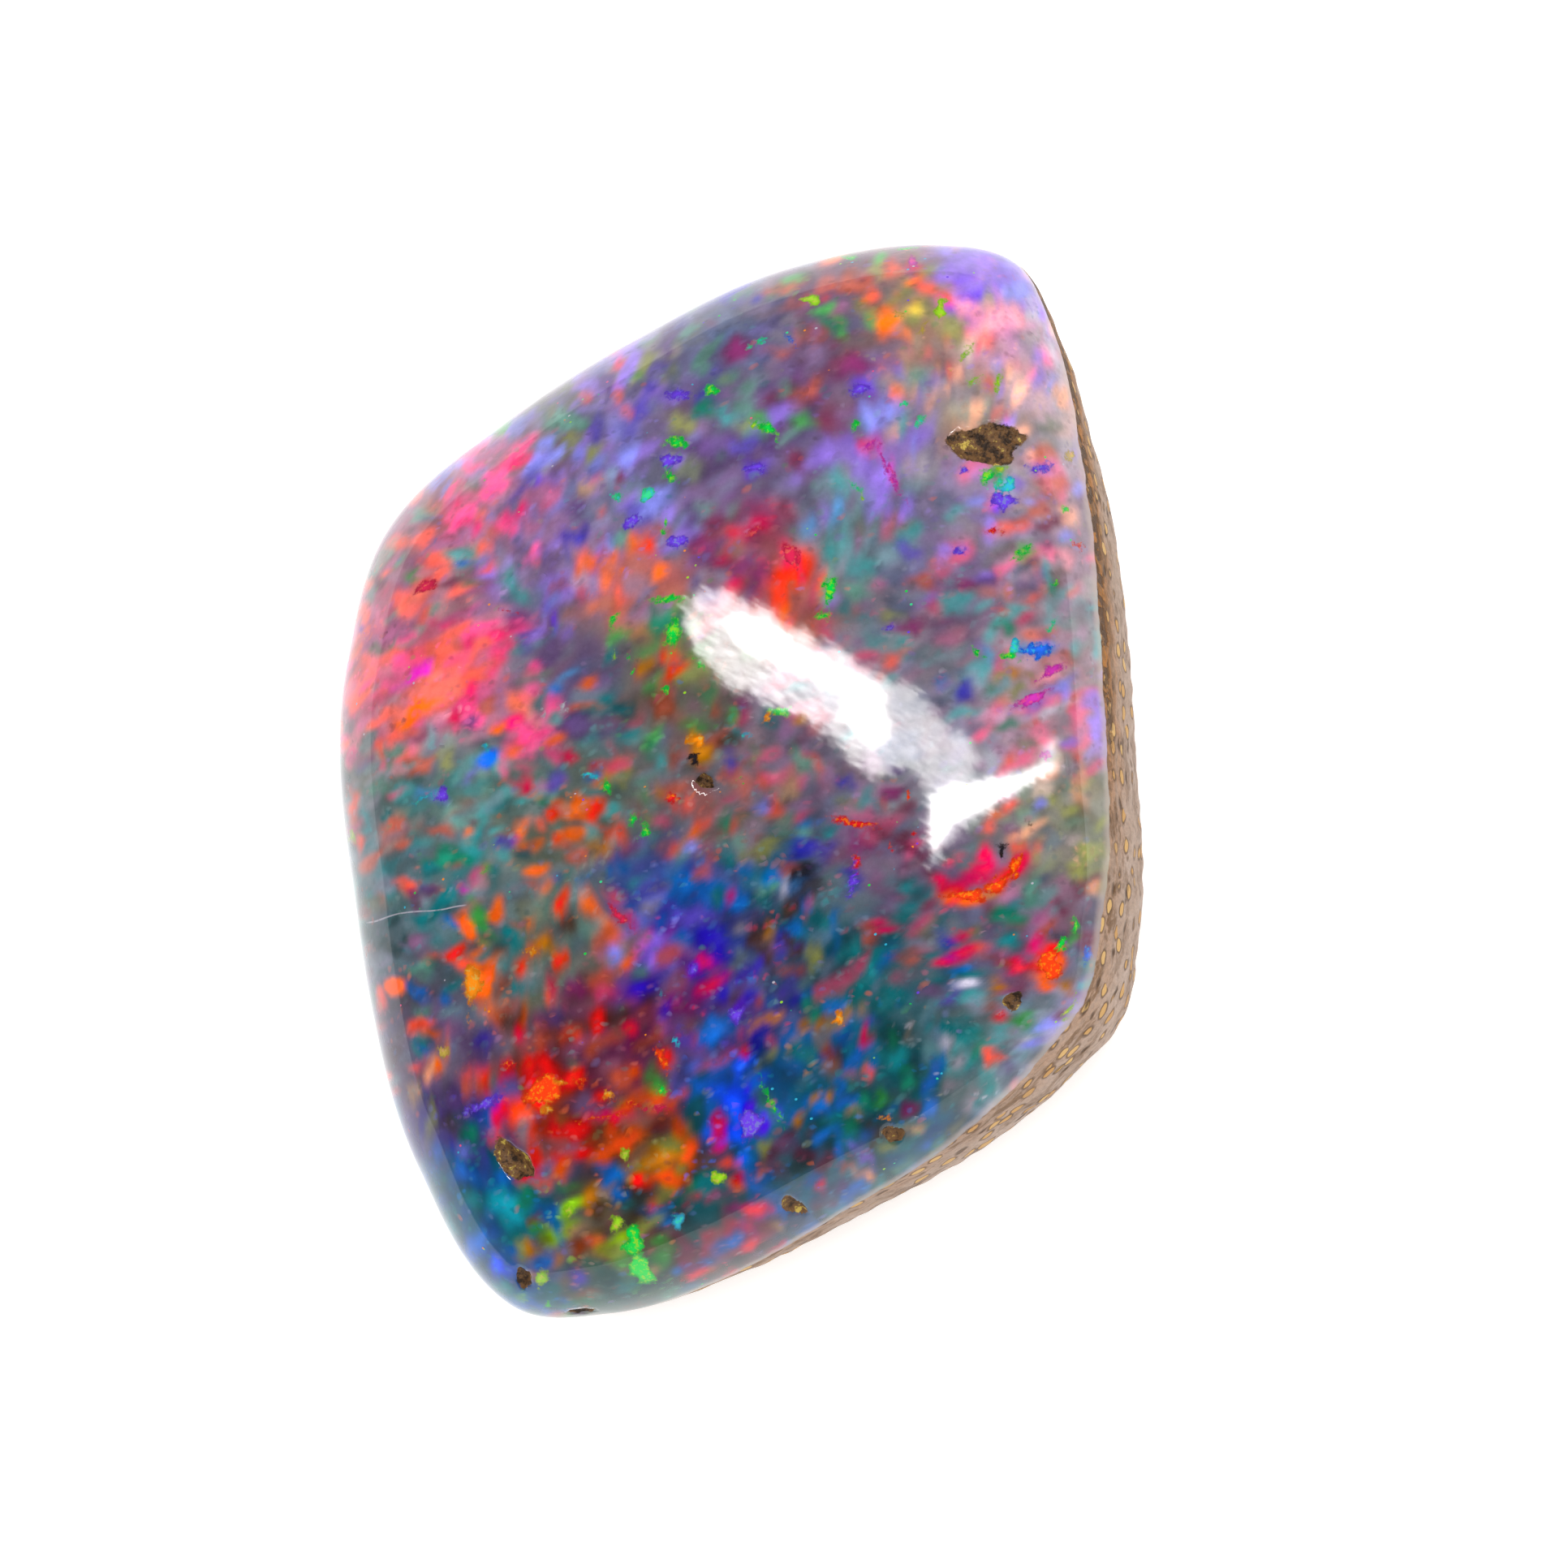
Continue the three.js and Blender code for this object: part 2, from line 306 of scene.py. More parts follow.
# Patches of the opal as they look in the view, in the order in which they lie over each other:
# colour, middle across and up the view, length, width, and the direction of the length
PATCHES = [
    # The left side above the middle
    ("mallow", -8.0, 3.1, 1.0, 0.5, 30), ("salmon", -7.2, 2.0, 2.3, 1.0, 38),
    ("rose", -8.3, 1.8, 0.8, 0.45, 50), ("coral", -7.1, 2.75, 0.5, 0.45, 0),
    ("hot", -6.95, 3.3, 0.3, 0.25, 0), ("hot", -6.0, 3.0, 1.0, 0.35, 20),
    ("coral", -6.4, 2.7, 0.9, 0.3, 30), ("hot", -5.8, 2.75, 0.5, 0.45, 60),
    ("magenta", -7.6, 2.25, 0.95, 0.22, 35), ("coral", -6.3, 2.3, 1.0, 0.25, 35),
    ("orange", -6.25, 2.15, 0.6, 0.12, 35), ("hot", -6.5, 1.8, 0.8, 0.25, 60),
    ("crimson", -6.75, 1.3, 0.5, 0.3, 60), ("orange", -7.3, 1.7, 0.5, 0.15, 30),
    ("orange", -7.75, 1.25, 0.9, 0.25, 45), ("coral", -7.9, 1.0, 0.7, 0.25, 10),
    ("brick", -6.1, 1.6, 0.5, 0.4, 0), ("coral", -8.3, 0.7, 0.5, 0.2, 60),
    ("coral", -8.72, 2.7, 0.6, 0.22, 100), ("indigo", -8.7, 3.2, 0.22, 0.2, 0),
    ("moss", -8.35, 2.75, 0.3, 0.3, 0), ("plum", -5.45, 3.35, 0.5, 0.35, 20),
    ("iris", -5.25, 3.0, 0.7, 0.4, 80), ("violet", -4.75, 3.4, 0.45, 0.2, -45),
    ("lilac", -4.5, 3.1, 0.4, 0.25, -50), ("sea", -5.4, 3.85, 0.5, 0.3, -60),
    ("moss", -5.2, 2.2, 0.7, 0.3, 20), ("teal", -5.0, 1.75, 0.8, 0.3, 75),
    ("azure", -4.75, 1.9, 0.4, 0.3, 45), ("sky", -4.4, 2.25, 0.7, 0.22, 45),
    ("sea", -4.65, 1.35, 0.5, 0.4, 40), ("orange", -4.0, 2.1, 0.35, 0.25, 0),
    ("hot", -5.55, 1.25, 0.5, 0.35, 20), ("pink", -5.25, 1.0, 0.7, 0.4, 10),
    ("orange", -5.87, 1.15, 0.3, 0.3, 0), ("rose", -5.45, 0.7, 0.5, 0.25, 0),
    ("purple", -6.4, 1.25, 0.3, 0.25, 0), ("blue", -6.1, 0.5, 0.55, 0.4, 20),
    ("teal", -6.15, 0.75, 0.22, 0.2, 0), ("periwinkle", -6.45, 0.15, 0.5, 0.22, 30),
    ("crimson", -5.35, 0.0, 0.55, 0.32, 85), ("rose", -5.3, 0.38, 0.4, 0.2, 0),
    ("crimson", -4.45, 0.5, 0.35, 0.28, 80), ("iris", -4.65, 0.08, 0.5, 0.35, 60),
    ("purple", -4.3, 1.2, 0.8, 0.5, 0), ("olive", -7.0, 0.55, 0.5, 0.35, 80),
    ("brick", -7.5, 0.4, 0.6, 0.45, 0), ("mallow", -8.7, 0.45, 0.5, 0.25, 0),
    ("sage", -8.05, 0.6, 0.4, 0.4, 0), ("sage", -8.35, -0.05, 0.6, 0.3, 30),
    ("rose", -8.0, -0.2, 0.45, 0.15, 10), ("teal", -8.15, -0.65, 0.3, 0.3, 0),
    ("periwinkle", -7.05, -0.27, 0.35, 0.24, 15), ("sky", -7.45, -0.2, 0.4, 0.14, 35),
    ("coral", -8.85, -0.4, 0.7, 0.2, 95), ("hot", -8.8, -0.85, 0.25, 0.2, 0),
    ("wine", -6.45, -0.8, 0.25, 0.22, 0), ("lagoon", -5.75, -0.45, 0.5, 0.25, 40),
    ("brick", -7.0, -0.95, 0.45, 0.2, 10), ("orange", -5.55, -0.85, 0.35, 0.14, 40),
    ("jade", -5.0, -0.35, 0.5, 0.22, 10), ("orange", -4.25, -0.5, 1.0, 0.5, 0),
    ("scarlet", -4.7, -0.62, 0.35, 0.25, 0), ("coral", -5.1, -0.8, 0.4, 0.2, 10),
    # The left side below the middle
    ("coral", -8.75, -1.2, 0.45, 0.25, 90), ("jade", -6.9, -1.5, 0.9, 0.5, 20),
    ("teal", -7.25, -1.75, 0.45, 0.3, 20), ("sea", -6.45, -1.3, 0.4, 0.3, 40),
    ("iris", -5.7, -1.2, 0.45, 0.28, 10), ("leaf", -6.1, -1.77, 0.2, 0.2, 0),
    ("pink", -6.35, -1.9, 0.25, 0.15, 80), ("lagoon", -5.3, -1.4, 0.45, 0.3, 30),
    ("scarlet", -4.65, -1.15, 0.25, 0.25, 0), ("brick", -4.25, -1.4, 0.5, 0.45, 0),
    ("coral", -7.75, -2.05, 0.4, 0.25, 0), ("plum", -7.6, -2.35, 0.45, 0.35, -60),
    ("purple", -7.3, -2.2, 0.3, 0.3, 0), ("magenta", -6.62, -2.2, 0.25, 0.16, -20),
    ("moss", -8.4, -2.45, 0.6, 0.3, 0), ("deep", -8.3, -3.05, 0.8, 0.6, 30),
    ("deep", -8.0, -3.3, 0.6, 0.4, 50), ("teal", -7.3, -2.75, 0.7, 0.28, 10),
    ("azure", -6.85, -2.85, 0.35, 0.25, 0), ("leaf", -6.25, -2.75, 0.8, 0.3, -65),
    ("olive", -6.2, -3.2, 0.3, 0.2, 80), ("orange", -6.55, -2.9, 0.5, 0.35, -55),
    ("scarlet", -6.7, -3.45, 0.55, 0.3, 30), ("orange", -6.3, -3.5, 0.35, 0.2, 20),
    ("coral", -6.5, -3.75, 0.7, 0.25, -30), ("teal", -5.65, -3.1, 0.5, 0.35, 80),
    ("moss", -5.2, -2.6, 0.7, 0.7, 0), ("sage", -4.85, -2.5, 0.5, 0.4, 0),
    ("brick", -5.2, -2.05, 0.4, 0.14, 0), ("orange", -5.2, -2.85, 0.3, 0.15, 0),
    ("iris", -4.7, -2.0, 0.3, 0.25, 0), ("scarlet", -4.55, -2.4, 0.45, 0.32, 70),
    ("umber", -4.45, -2.9, 0.4, 0.4, 0), ("slate", -4.2, -3.3, 0.4, 0.3, 0),
    ("scarlet", -5.35, -3.75, 0.4, 0.25, 60), ("orange", -5.2, -3.5, 0.25, 0.16, 0),
    ("amber", -4.9, -3.3, 0.45, 0.3, 0), ("scarlet", -4.6, -3.65, 0.42, 0.38, 80),
    ("sea", -5.72, -3.7, 0.4, 0.28, 80), ("orange", -6.2, -4.1, 0.7, 0.5, 80),
    ("tangerine", -6.35, -4.0, 0.4, 0.25, 80), ("rust", -5.8, -4.15, 0.45, 0.25, 30),
    ("orange", -6.15, -4.6, 0.2, 0.12, 0), ("brick", -5.6, -4.6, 0.9, 0.28, 40),
    ("moss", -5.1, -4.5, 0.5, 0.4, 0), ("coral", -4.85, -4.4, 0.3, 0.3, 0),
    ("crimson", -4.75, -4.1, 0.28, 0.18, 0), ("rose", -4.6, -4.5, 0.4, 0.2, -50),
    ("purple", -4.75, -4.8, 1.1, 0.3, 10), ("plum", -4.3, -4.2, 0.5, 0.45, 0),
    ("azure", -7.55, -4.3, 0.45, 0.32, -30), ("azure", -6.95, -4.45, 0.32, 0.25, 60),
    ("sage", -7.45, -3.8, 0.5, 0.4, 30), ("sage", -7.4, -4.65, 0.35, 0.25, 0),
    ("mauve", -7.5, -3.3, 0.6, 0.4, 0), ("coral", -7.55, -5.0, 0.35, 0.2, -20),
    ("orange", -7.2, -5.15, 0.35, 0.2, -30), ("coral", -6.87, -5.1, 0.28, 0.14, 0),
    ("tangerine", -7.0, -5.45, 0.22, 0.2, 0), ("azure", -7.38, -5.45, 0.28, 0.2, 0),
    ("peach", -7.2, -5.85, 0.75, 0.4, 40), ("orange", -7.05, -5.75, 0.45, 0.22, 50),
    ("indigo", -6.15, -5.35, 0.45, 0.32, 60), ("purple", -6.3, -5.75, 0.4, 0.25, 0),
    ("crimson", -5.45, -5.15, 0.42, 0.25, -60), ("brick", -5.1, -5.35, 0.9, 0.22, 12),
    ("coral", -4.35, -5.15, 0.7, 0.18, 35), ("red", -5.68, -5.82, 0.35, 0.3, 0),
    ("red", -4.9, -5.75, 0.4, 0.35, 0), ("coral", -6.3, -5.95, 0.6, 0.25, 20),
    ("moss", -4.3, -5.75, 0.35, 0.3, 0), ("scarlet", -5.3, -5.82, 0.38, 0.22, 80),
    # The upper left
    ("sage", -4.55, 7.5, 0.9, 0.6, -20), ("moss", -4.85, 7.7, 0.3, 0.35, 0),
    ("leaf", -5.75, 7.3, 0.6, 0.28, 35), ("olive", -4.35, 7.1, 0.5, 0.2, -10),
    ("periwinkle", -5.42, 7.4, 0.5, 0.14, 50), ("iris", -3.85, 7.3, 0.8, 0.28, 75),
    ("olive", -3.9, 6.8, 0.6, 0.2, 50), ("coral", -4.1, 7.95, 0.22, 0.12, 0),
    ("mallow", -5.45, 7.1, 0.5, 0.18, 15), ("mallow", -5.9, 6.9, 1.1, 0.25, 20),
    ("pink", -6.5, 6.55, 0.4, 0.3, 0), ("pink", -6.2, 6.6, 0.2, 0.15, 0),
    ("hot", -5.5, 6.58, 0.55, 0.18, 25), ("iris", -7.05, 6.25, 0.35, 0.18, 40),
    ("sage", -6.5, 6.1, 0.6, 0.16, 25), ("iris", -5.3, 6.15, 0.8, 0.22, 38),
    ("violet", -5.05, 6.3, 0.3, 0.18, 45), ("dusk", -4.5, 6.5, 0.6, 0.4, 0),
    ("mallow", -4.9, 5.9, 0.9, 0.5, 20), ("clay", -4.0, 6.1, 0.6, 0.35, 10),
    ("coral", -3.9, 6.22, 0.2, 0.12, 0), ("coral", -3.78, 5.63, 0.18, 0.14, 0),
    ("hot", -6.75, 5.78, 0.24, 0.16, 0), ("brick", -7.2, 5.7, 0.5, 0.25, 30),
    ("slate", -7.25, 5.4, 0.45, 0.22, 0), ("hot", -6.45, 5.32, 0.8, 0.22, -10),
    ("salmon", -6.0, 5.2, 0.4, 0.2, 0), ("hot", -5.45, 5.6, 0.5, 0.22, 15),
    ("mallow", -5.15, 5.35, 0.8, 0.4, 10), ("coral", -6.12, 4.87, 0.35, 0.28, 0),
    ("rose", -7.0, 5.05, 0.45, 0.16, 10), ("coral", -7.9, 4.95, 0.4, 0.38, 0),
    ("coral", -7.55, 4.65, 0.25, 0.16, 0), ("sea", -6.65, 4.65, 0.65, 0.42, 20),
    ("azure", -6.55, 4.5, 0.24, 0.2, 0), ("leaf", -7.65, 4.3, 0.35, 0.28, 0),
    ("wine", -8.3, 4.15, 0.35, 0.3, 0), ("rose", -8.15, 4.0, 0.4, 0.16, 10),
    ("salmon", -7.5, 3.85, 0.75, 0.3, 25), ("red", -7.3, 4.1, 0.35, 0.2, 35),
    ("wine", -6.9, 4.1, 0.28, 0.2, 0), ("mallow", -6.25, 4.0, 0.38, 0.24, 0),
    ("wine", -6.6, 3.7, 0.35, 0.3, 0), ("moss", -6.5, 4.15, 0.4, 0.22, 0),
    ("sea", -5.6, 4.1, 0.9, 0.24, -58), ("dove", -5.85, 4.65, 0.4, 0.16, 90),
    ("dusk", -5.3, 4.6, 0.7, 0.5, 0), ("rose", -5.1, 4.65, 0.35, 0.2, 0),
    ("purple", -4.8, 4.55, 0.6, 0.35, 90), ("indigo", -4.25, 5.1, 0.6, 0.4, 0),
    ("indigo", -4.5, 4.85, 0.6, 0.18, -70), ("purple", -4.3, 5.65, 0.4, 0.3, 0),
    ("coral", -4.05, 4.55, 0.65, 0.45, 60), ("orange", -4.05, 4.45, 0.5, 0.35, 60),
    ("brick", -3.65, 4.65, 0.7, 0.28, 90), ("rose", -4.1, 3.9, 0.45, 0.22, 10),
    # The top, left of the middle
    ("iris", -2.85, 7.9, 1.7, 0.35, 68), ("purple", -2.35, 9.1, 0.9, 0.35, 75),
    ("olive", -2.8, 8.75, 0.8, 0.32, 72), ("slate", -1.25, 9.6, 1.0, 0.5, 0),
    ("mauve", -1.6, 9.45, 0.35, 0.15, 0), ("moss", -1.85, 9.15, 0.4, 0.2, 0),
    ("leaf", -3.0, 8.35, 0.3, 0.14, 20), ("hot", -3.4, 8.65, 0.35, 0.15, 90),
    ("salmon", -3.4, 8.05, 0.35, 0.2, 90), ("purple", -3.65, 8.2, 0.5, 0.35, 90),
    ("salmon", -3.25, 7.6, 0.6, 0.12, 105), ("moss", -2.3, 8.45, 0.3, 0.25, 90),
    ("sage", -1.65, 8.6, 0.45, 0.35, 0), ("jade", -1.6, 7.7, 0.45, 0.35, 0),
    ("iris", -1.35, 8.4, 0.35, 0.1, 70), ("olive", -1.2, 8.3, 0.3, 0.2, 90),
    ("lilac", -2.3, 7.95, 0.7, 0.25, 15), ("olive", -2.1, 7.45, 0.7, 0.45, 0),
    ("moss", -2.0, 6.6, 0.9, 0.7, 90), ("lilac", -2.35, 6.65, 0.4, 0.28, 0),
    ("plum", -0.95, 8.9, 0.7, 0.5, 0), ("brick", 0.1, 10.2, 0.5, 0.25, 0),
    ("brick", -0.3, 10.1, 0.3, 0.25, 0), ("brick", -0.1, 8.9, 0.5, 0.15, 0),
    ("slate", -0.55, 8.5, 0.35, 0.25, 0), ("iris", 0.15, 9.2, 0.6, 0.12, -50),
    ("rust", 0.3, 7.9, 0.7, 0.35, 10), ("brick", 0.6, 8.15, 0.5, 0.28, 30),
    ("sage", 0.0, 8.1, 0.28, 0.25, 0), ("leaf", 0.45, 7.45, 0.6, 0.22, -15),
    ("sage", -0.8, 7.75, 0.45, 0.4, 0), ("leaf", -0.5, 7.4, 0.7, 0.3, -40),
    ("olive", -0.78, 7.35, 0.35, 0.2, 0), ("sea", -1.2, 7.55, 0.5, 0.35, 0),
    ("purple", -1.4, 6.95, 1.2, 0.6, 0), ("iris", -0.75, 6.95, 0.7, 0.28, 0),
    ("violet", -0.6, 6.5, 0.4, 0.3, 60), ("lilac", -0.3, 6.65, 0.35, 0.2, 0),
    ("wine", 0.25, 6.6, 0.5, 0.4, 0), ("lilac", 0.85, 6.8, 0.8, 0.4, 90),
    ("wine", -3.4, 6.3, 0.3, 0.2, 90), ("jade", 0.9, 9.45, 0.45, 0.22, -50),
    ("scarlet", 0.87, 9.97, 0.22, 0.14, 0), ("orange", 0.97, 10.25, 0.2, 0.14, 90),
    ("dusk", 0.6, 8.8, 0.8, 0.6, 0),
    # Round the highlight's left end
    ("iris", -3.0, 5.5, 0.6, 0.45, 60), ("periwinkle", -2.7, 5.7, 0.5, 0.35, 0),
    ("slate", -3.4, 5.15, 0.4, 0.3, 0), ("purple", -1.9, 5.5, 0.6, 0.3, 90),
    ("brick", -2.7, 5.2, 0.5, 0.4, 0), ("scarlet", -2.82, 4.9, 0.4, 0.28, 90),
    ("sage", -3.3, 4.95, 0.4, 0.3, 90), ("brick", -3.6, 4.5, 0.6, 0.5, 0),
    ("brick", -3.4, 3.75, 0.5, 0.4, 90), ("coral", -3.3, 3.85, 0.3, 0.2, 0),
    ("jade", -2.5, 3.4, 0.8, 0.6, 0), ("wine", -1.45, 5.4, 0.5, 0.35, 0),
    ("plum", -1.7, 4.9, 0.6, 0.4, 0), ("crimson", -1.45, 4.85, 0.4, 0.15, 80),
    ("red", -1.0, 5.22, 0.3, 0.25, 0), ("crimson", -0.55, 5.3, 0.6, 0.25, 25),
    ("wine", 0.0, 5.55, 0.6, 0.45, 30), ("sage", -1.1, 5.7, 0.35, 0.3, 90),
    ("moss", -0.9, 4.8, 0.4, 0.3, 0), ("wine", -1.05, 4.55, 0.25, 0.2, 0),
    ("plum", -0.6, 4.35, 0.6, 0.5, 0), ("scarlet", -0.1, 3.9, 0.9, 0.45, 80),
    ("orange", 0.0, 3.5, 0.4, 0.25, 80), ("scarlet", 0.4, 4.5, 0.8, 0.35, -78),
    ("hot", 0.15, 4.6, 0.85, 0.28, -60), ("rose", -0.38, 4.15, 0.4, 0.18, 80),
    ("sky", 0.5, 5.3, 0.5, 0.25, 80), ("sea", 0.95, 4.8, 0.8, 0.3, 90), ("mint", 0.9, 4.0, 0.7, 0.24, 90),
    ("teal", 1.25, 3.55, 0.5, 0.25, 90), ("lilac", 0.85, 5.6, 0.5, 0.3, 80),
    ("brick", 0.6, 3.2, 0.6, 0.28, 0), ("hot", 0.9, 3.0, 0.3, 0.16, 90),
    ("olive", -2.0, 2.4, 1.1, 0.7, 0), ("scarlet", -2.25, 2.42, 0.45, 0.3, 70),
    ("scarlet", -2.5, 2.65, 0.25, 0.18, 0), ("amber", -2.85, 2.3, 0.35, 0.3, 90),
    ("rust", -2.5, 1.6, 0.7, 0.4, -40), ("rust", -2.1, 1.35, 0.5, 0.25, 0),
    ("brick", -1.4, 1.5, 0.35, 0.28, 90), ("jade", -1.6, 1.85, 0.4, 0.22, 20),
    ("lagoon", -3.3, 1.55, 0.5, 0.42, 0), ("plum", -0.9, 1.6, 0.5, 0.4, 0),
    ("amber", 0.3, 1.3, 0.3, 0.28, 0), ("coral", 0.7, 1.15, 0.3, 0.18, 0),
    ("dusk", -3.6, 1.2, 0.7, 0.4, 0), ("amber", -1.8, 1.05, 0.35, 0.2, 0),
    ("leaf", -2.6, 2.0, 0.4, 0.12, 0),
    # The middle
    ("jade", -2.7, 0.65, 0.45, 0.35, 0), ("sea", -2.45, 0.35, 0.4, 0.28, 90),
    ("crimson", -3.7, 0.4, 0.6, 0.22, 20), ("coral", -3.25, 0.52, 0.3, 0.2, 0),
    ("olive", -3.4, 0.1, 0.5, 0.45, 0), ("azure", -3.9, 0.12, 0.35, 0.18, 0),
    ("leaf", -3.65, -0.05, 0.3, 0.2, 90), ("amber", -1.75, 0.65, 0.7, 0.5, 80),
    ("tangerine", -1.85, 0.92, 0.3, 0.25, 0), ("umber", -1.1, 0.9, 0.4, 0.3, 0),
    ("iris", -1.1, 0.45, 0.45, 0.35, 90), ("moss", -0.6, 0.6, 0.5, 0.5, 0),
    ("sage", 0.35, 0.5, 0.6, 0.45, 90), ("coral", 0.65, 0.4, 0.5, 0.12, -70),
    ("brick", -2.3, -0.1, 0.8, 0.3, 0), ("amber", -2.5, -0.25, 0.3, 0.28, 0),
    ("scarlet", -2.3, -0.35, 0.5, 0.22, -55), ("coral", -1.95, -0.42, 0.4, 0.25, 30),
    ("leaf", -2.85, -0.2, 0.4, 0.22, 90), ("rust", -3.0, -0.5, 0.5, 0.2, -25),
    ("olive", -2.8, -0.72, 0.35, 0.22, 0), ("scarlet", -3.9, -0.6, 0.5, 0.35, 80),
    ("scarlet", -3.5, -1.0, 0.7, 0.25, -30), ("amber", -3.85, -1.3, 0.45, 0.35, 0),
    ("rose", -2.5, -0.8, 0.35, 0.28, 0), ("dusk", -2.35, -1.05, 0.5, 0.25, 80),
    ("coral", -1.7, -0.8, 0.35, 0.28, 30), ("orange", -1.9, -1.1, 0.45, 0.32, 50),
    ("coral", -2.2, -1.35, 0.6, 0.22, 35), ("rose", -1.55, -1.3, 0.35, 0.16, 20),
    ("jade", -1.25, -0.85, 0.6, 0.22, 80), ("teal", -1.15, -1.5, 0.9, 0.28, 85),
    ("moss", -0.8, -0.7, 0.45, 0.3, 40), ("periwinkle", -0.45, -0.4, 0.5, 0.22, 75),
    ("salmon", -0.5, 0.05, 0.3, 0.28, 0), ("coral", -0.2, -0.45, 0.6, 0.2, 85),
    ("clay", 0.1, -0.1, 0.6, 0.35, 90), ("rose", -1.15, -0.3, 0.32, 0.18, 30),
    ("olive", -0.5, -1.35, 0.8, 0.45, 20), ("sage", 0.0, -0.9, 0.5, 0.45, 0),
    ("plum", -3.3, -1.4, 0.9, 0.22, 25), ("iris", -3.7, -1.62, 0.7, 0.28, 30),
    ("sea", -3.1, -2.0, 0.6, 0.2, 10), ("azure", -3.4, -1.78, 0.6, 0.18, 20),
    ("azure", -2.0, -2.1, 0.8, 0.55, 0), ("iris", -2.7, -2.2, 0.45, 0.2, 10),
    ("teal", -1.4, -2.3, 0.5, 0.28, 80), ("azure", -0.9, -1.85, 0.5, 0.28, 0),
    ("teal", -0.4, -2.4, 0.6, 0.3, 0), ("coral", -3.5, -2.3, 0.4, 0.25, -30),
    ("crimson", -3.3, -2.75, 0.75, 0.22, -50), ("dove", -2.75, -2.6, 0.3, 0.28, 0),
    ("iris", -2.0, -2.7, 1.0, 0.6, 0), ("indigo", -1.5, -3.2, 0.8, 0.55, 30),
    ("lilac", -2.75, -3.4, 0.8, 0.6, 80), ("periwinkle", -3.5, -3.5, 0.55, 0.35, 45),
    ("violet", -1.85, -3.8, 0.35, 0.22, 30), ("sage", -3.0, -3.85, 0.3, 0.22, 0),
    ("coral", -3.7, -3.92, 0.4, 0.2, 0), ("dove", -0.8, -3.0, 0.3, 0.28, 0),
    ("fog", -0.9, -3.6, 0.5, 0.4, 90), ("umber", -0.4, -3.3, 0.9, 0.6, 90),
    ("umber", 0.15, -3.3, 0.5, 0.5, 0), ("amber", -0.35, -3.05, 0.35, 0.2, 100),
    ("amber", -0.15, -3.32, 0.32, 0.1, -50), ("olive", 0.6, -3.5, 0.6, 0.35, 80),
    ("brick", 0.1, -3.85, 0.6, 0.2, 0), ("indigo", 0.4, -1.35, 0.7, 0.4, 60),
    ("slate", 0.7, -0.9, 0.6, 0.35, 80), ("iris", 0.8, -1.4, 0.5, 0.3, 80),
    ("ink", 0.35, -1.75, 0.5, 0.4, 60), ("ink", 0.5, -2.15, 0.6, 0.5, 60),
    ("umber", 0.1, -2.6, 0.5, 0.3, 60), ("pearl", 0.0, -2.1, 0.4, 0.2, 90),
    ("lagoon", 0.6, -2.7, 0.5, 0.35, 0), ("teal", 0.85, -2.85, 0.35, 0.3, 0),
    # Below the middle
    ("indigo", -2.9, -4.2, 0.9, 0.4, 45), ("azure", -2.55, -4.3, 0.3, 0.14, 60),
    ("crimson", -1.6, -4.2, 0.35, 0.18, 10), ("indigo", -1.3, -4.35, 0.35, 0.28, 80),
    ("plum", -2.1, -4.5, 0.7, 0.4, 0), ("violet", -1.0, -4.7, 0.6, 0.22, 70),
    ("brick", -0.55, -4.45, 0.3, 0.25, 0), ("azure", -0.3, -4.5, 0.35, 0.14, 50),
    ("iris", 0.1, -4.2, 0.35, 0.28, 0), ("jade", 0.55, -4.6, 0.45, 0.42, 0),
    ("scarlet", -3.85, -4.9, 0.6, 0.3, 85), ("brick", -3.95, -5.4, 0.5, 0.2, 85),
    ("crimson", -3.15, -5.02, 0.22, 0.2, 0), ("rose", -3.7, -4.3, 0.5, 0.35, 0),
    ("plum", -3.2, -5.35, 0.4, 0.2, 80), ("lilac", -2.5, -4.9, 0.5, 0.12, -50),
    ("azure", -1.5, -5.1, 0.8, 0.7, 60), ("brick", -1.85, -5.2, 0.6, 0.1, -70),
    ("orange", -3.1, -5.9, 0.4, 0.22, 10), ("brick", -3.35, -6.05, 0.6, 0.4, 0),
    ("scarlet", -2.45, -5.7, 0.45, 0.25, -65), ("leaf", -2.65, -6.1, 0.7, 0.35, -60),
    ("coral", -1.5, -5.75, 0.6, 0.2, 15), ("scarlet", -0.9, -5.5, 0.4, 0.18, 0),
    ("coral", -0.9, -5.15, 0.25, 0.14, 90), ("salmon", -0.3, -5.25, 0.25, 0.18, 0),
    ("olive", -0.3, -5.6, 0.65, 0.2, 55), ("teal", 0.4, -5.6, 0.6, 0.45, 0),
    ("rust", 0.9, -5.6, 0.3, 0.25, 90), ("coral", -2.5, -6.65, 0.6, 0.2, 8),
    ("hot", -3.5, -6.85, 1.0, 0.14, 5), ("purple", -3.5, -6.68, 0.8, 0.14, 5),
    ("rust", -2.5, -6.95, 0.5, 0.25, 0), ("crimson", -1.95, -6.5, 0.3, 0.18, 80),
    ("lagoon", -1.8, -6.6, 1.2, 0.45, 85), ("azure", -1.6, -6.2, 0.5, 0.3, 0),
    ("blue", -1.05, -6.6, 1.1, 0.55, -70), ("violet", -0.7, -6.7, 0.5, 0.28, 80),
    ("violet", -0.7, -7.2, 0.45, 0.3, 20), ("blue", -0.95, -7.2, 0.5, 0.35, -60),
    ("leaf", -0.3, -6.65, 0.7, 0.14, -60), ("crimson", -1.35, -7.0, 0.5, 0.3, -80),
    ("hot", -1.35, -7.4, 0.4, 0.28, 90), ("coral", -1.15, -7.8, 0.3, 0.22, 0),
    ("amber", 0.3, -6.9, 0.4, 0.25, 40), ("azure", 0.8, -6.6, 0.45, 0.3, 80),
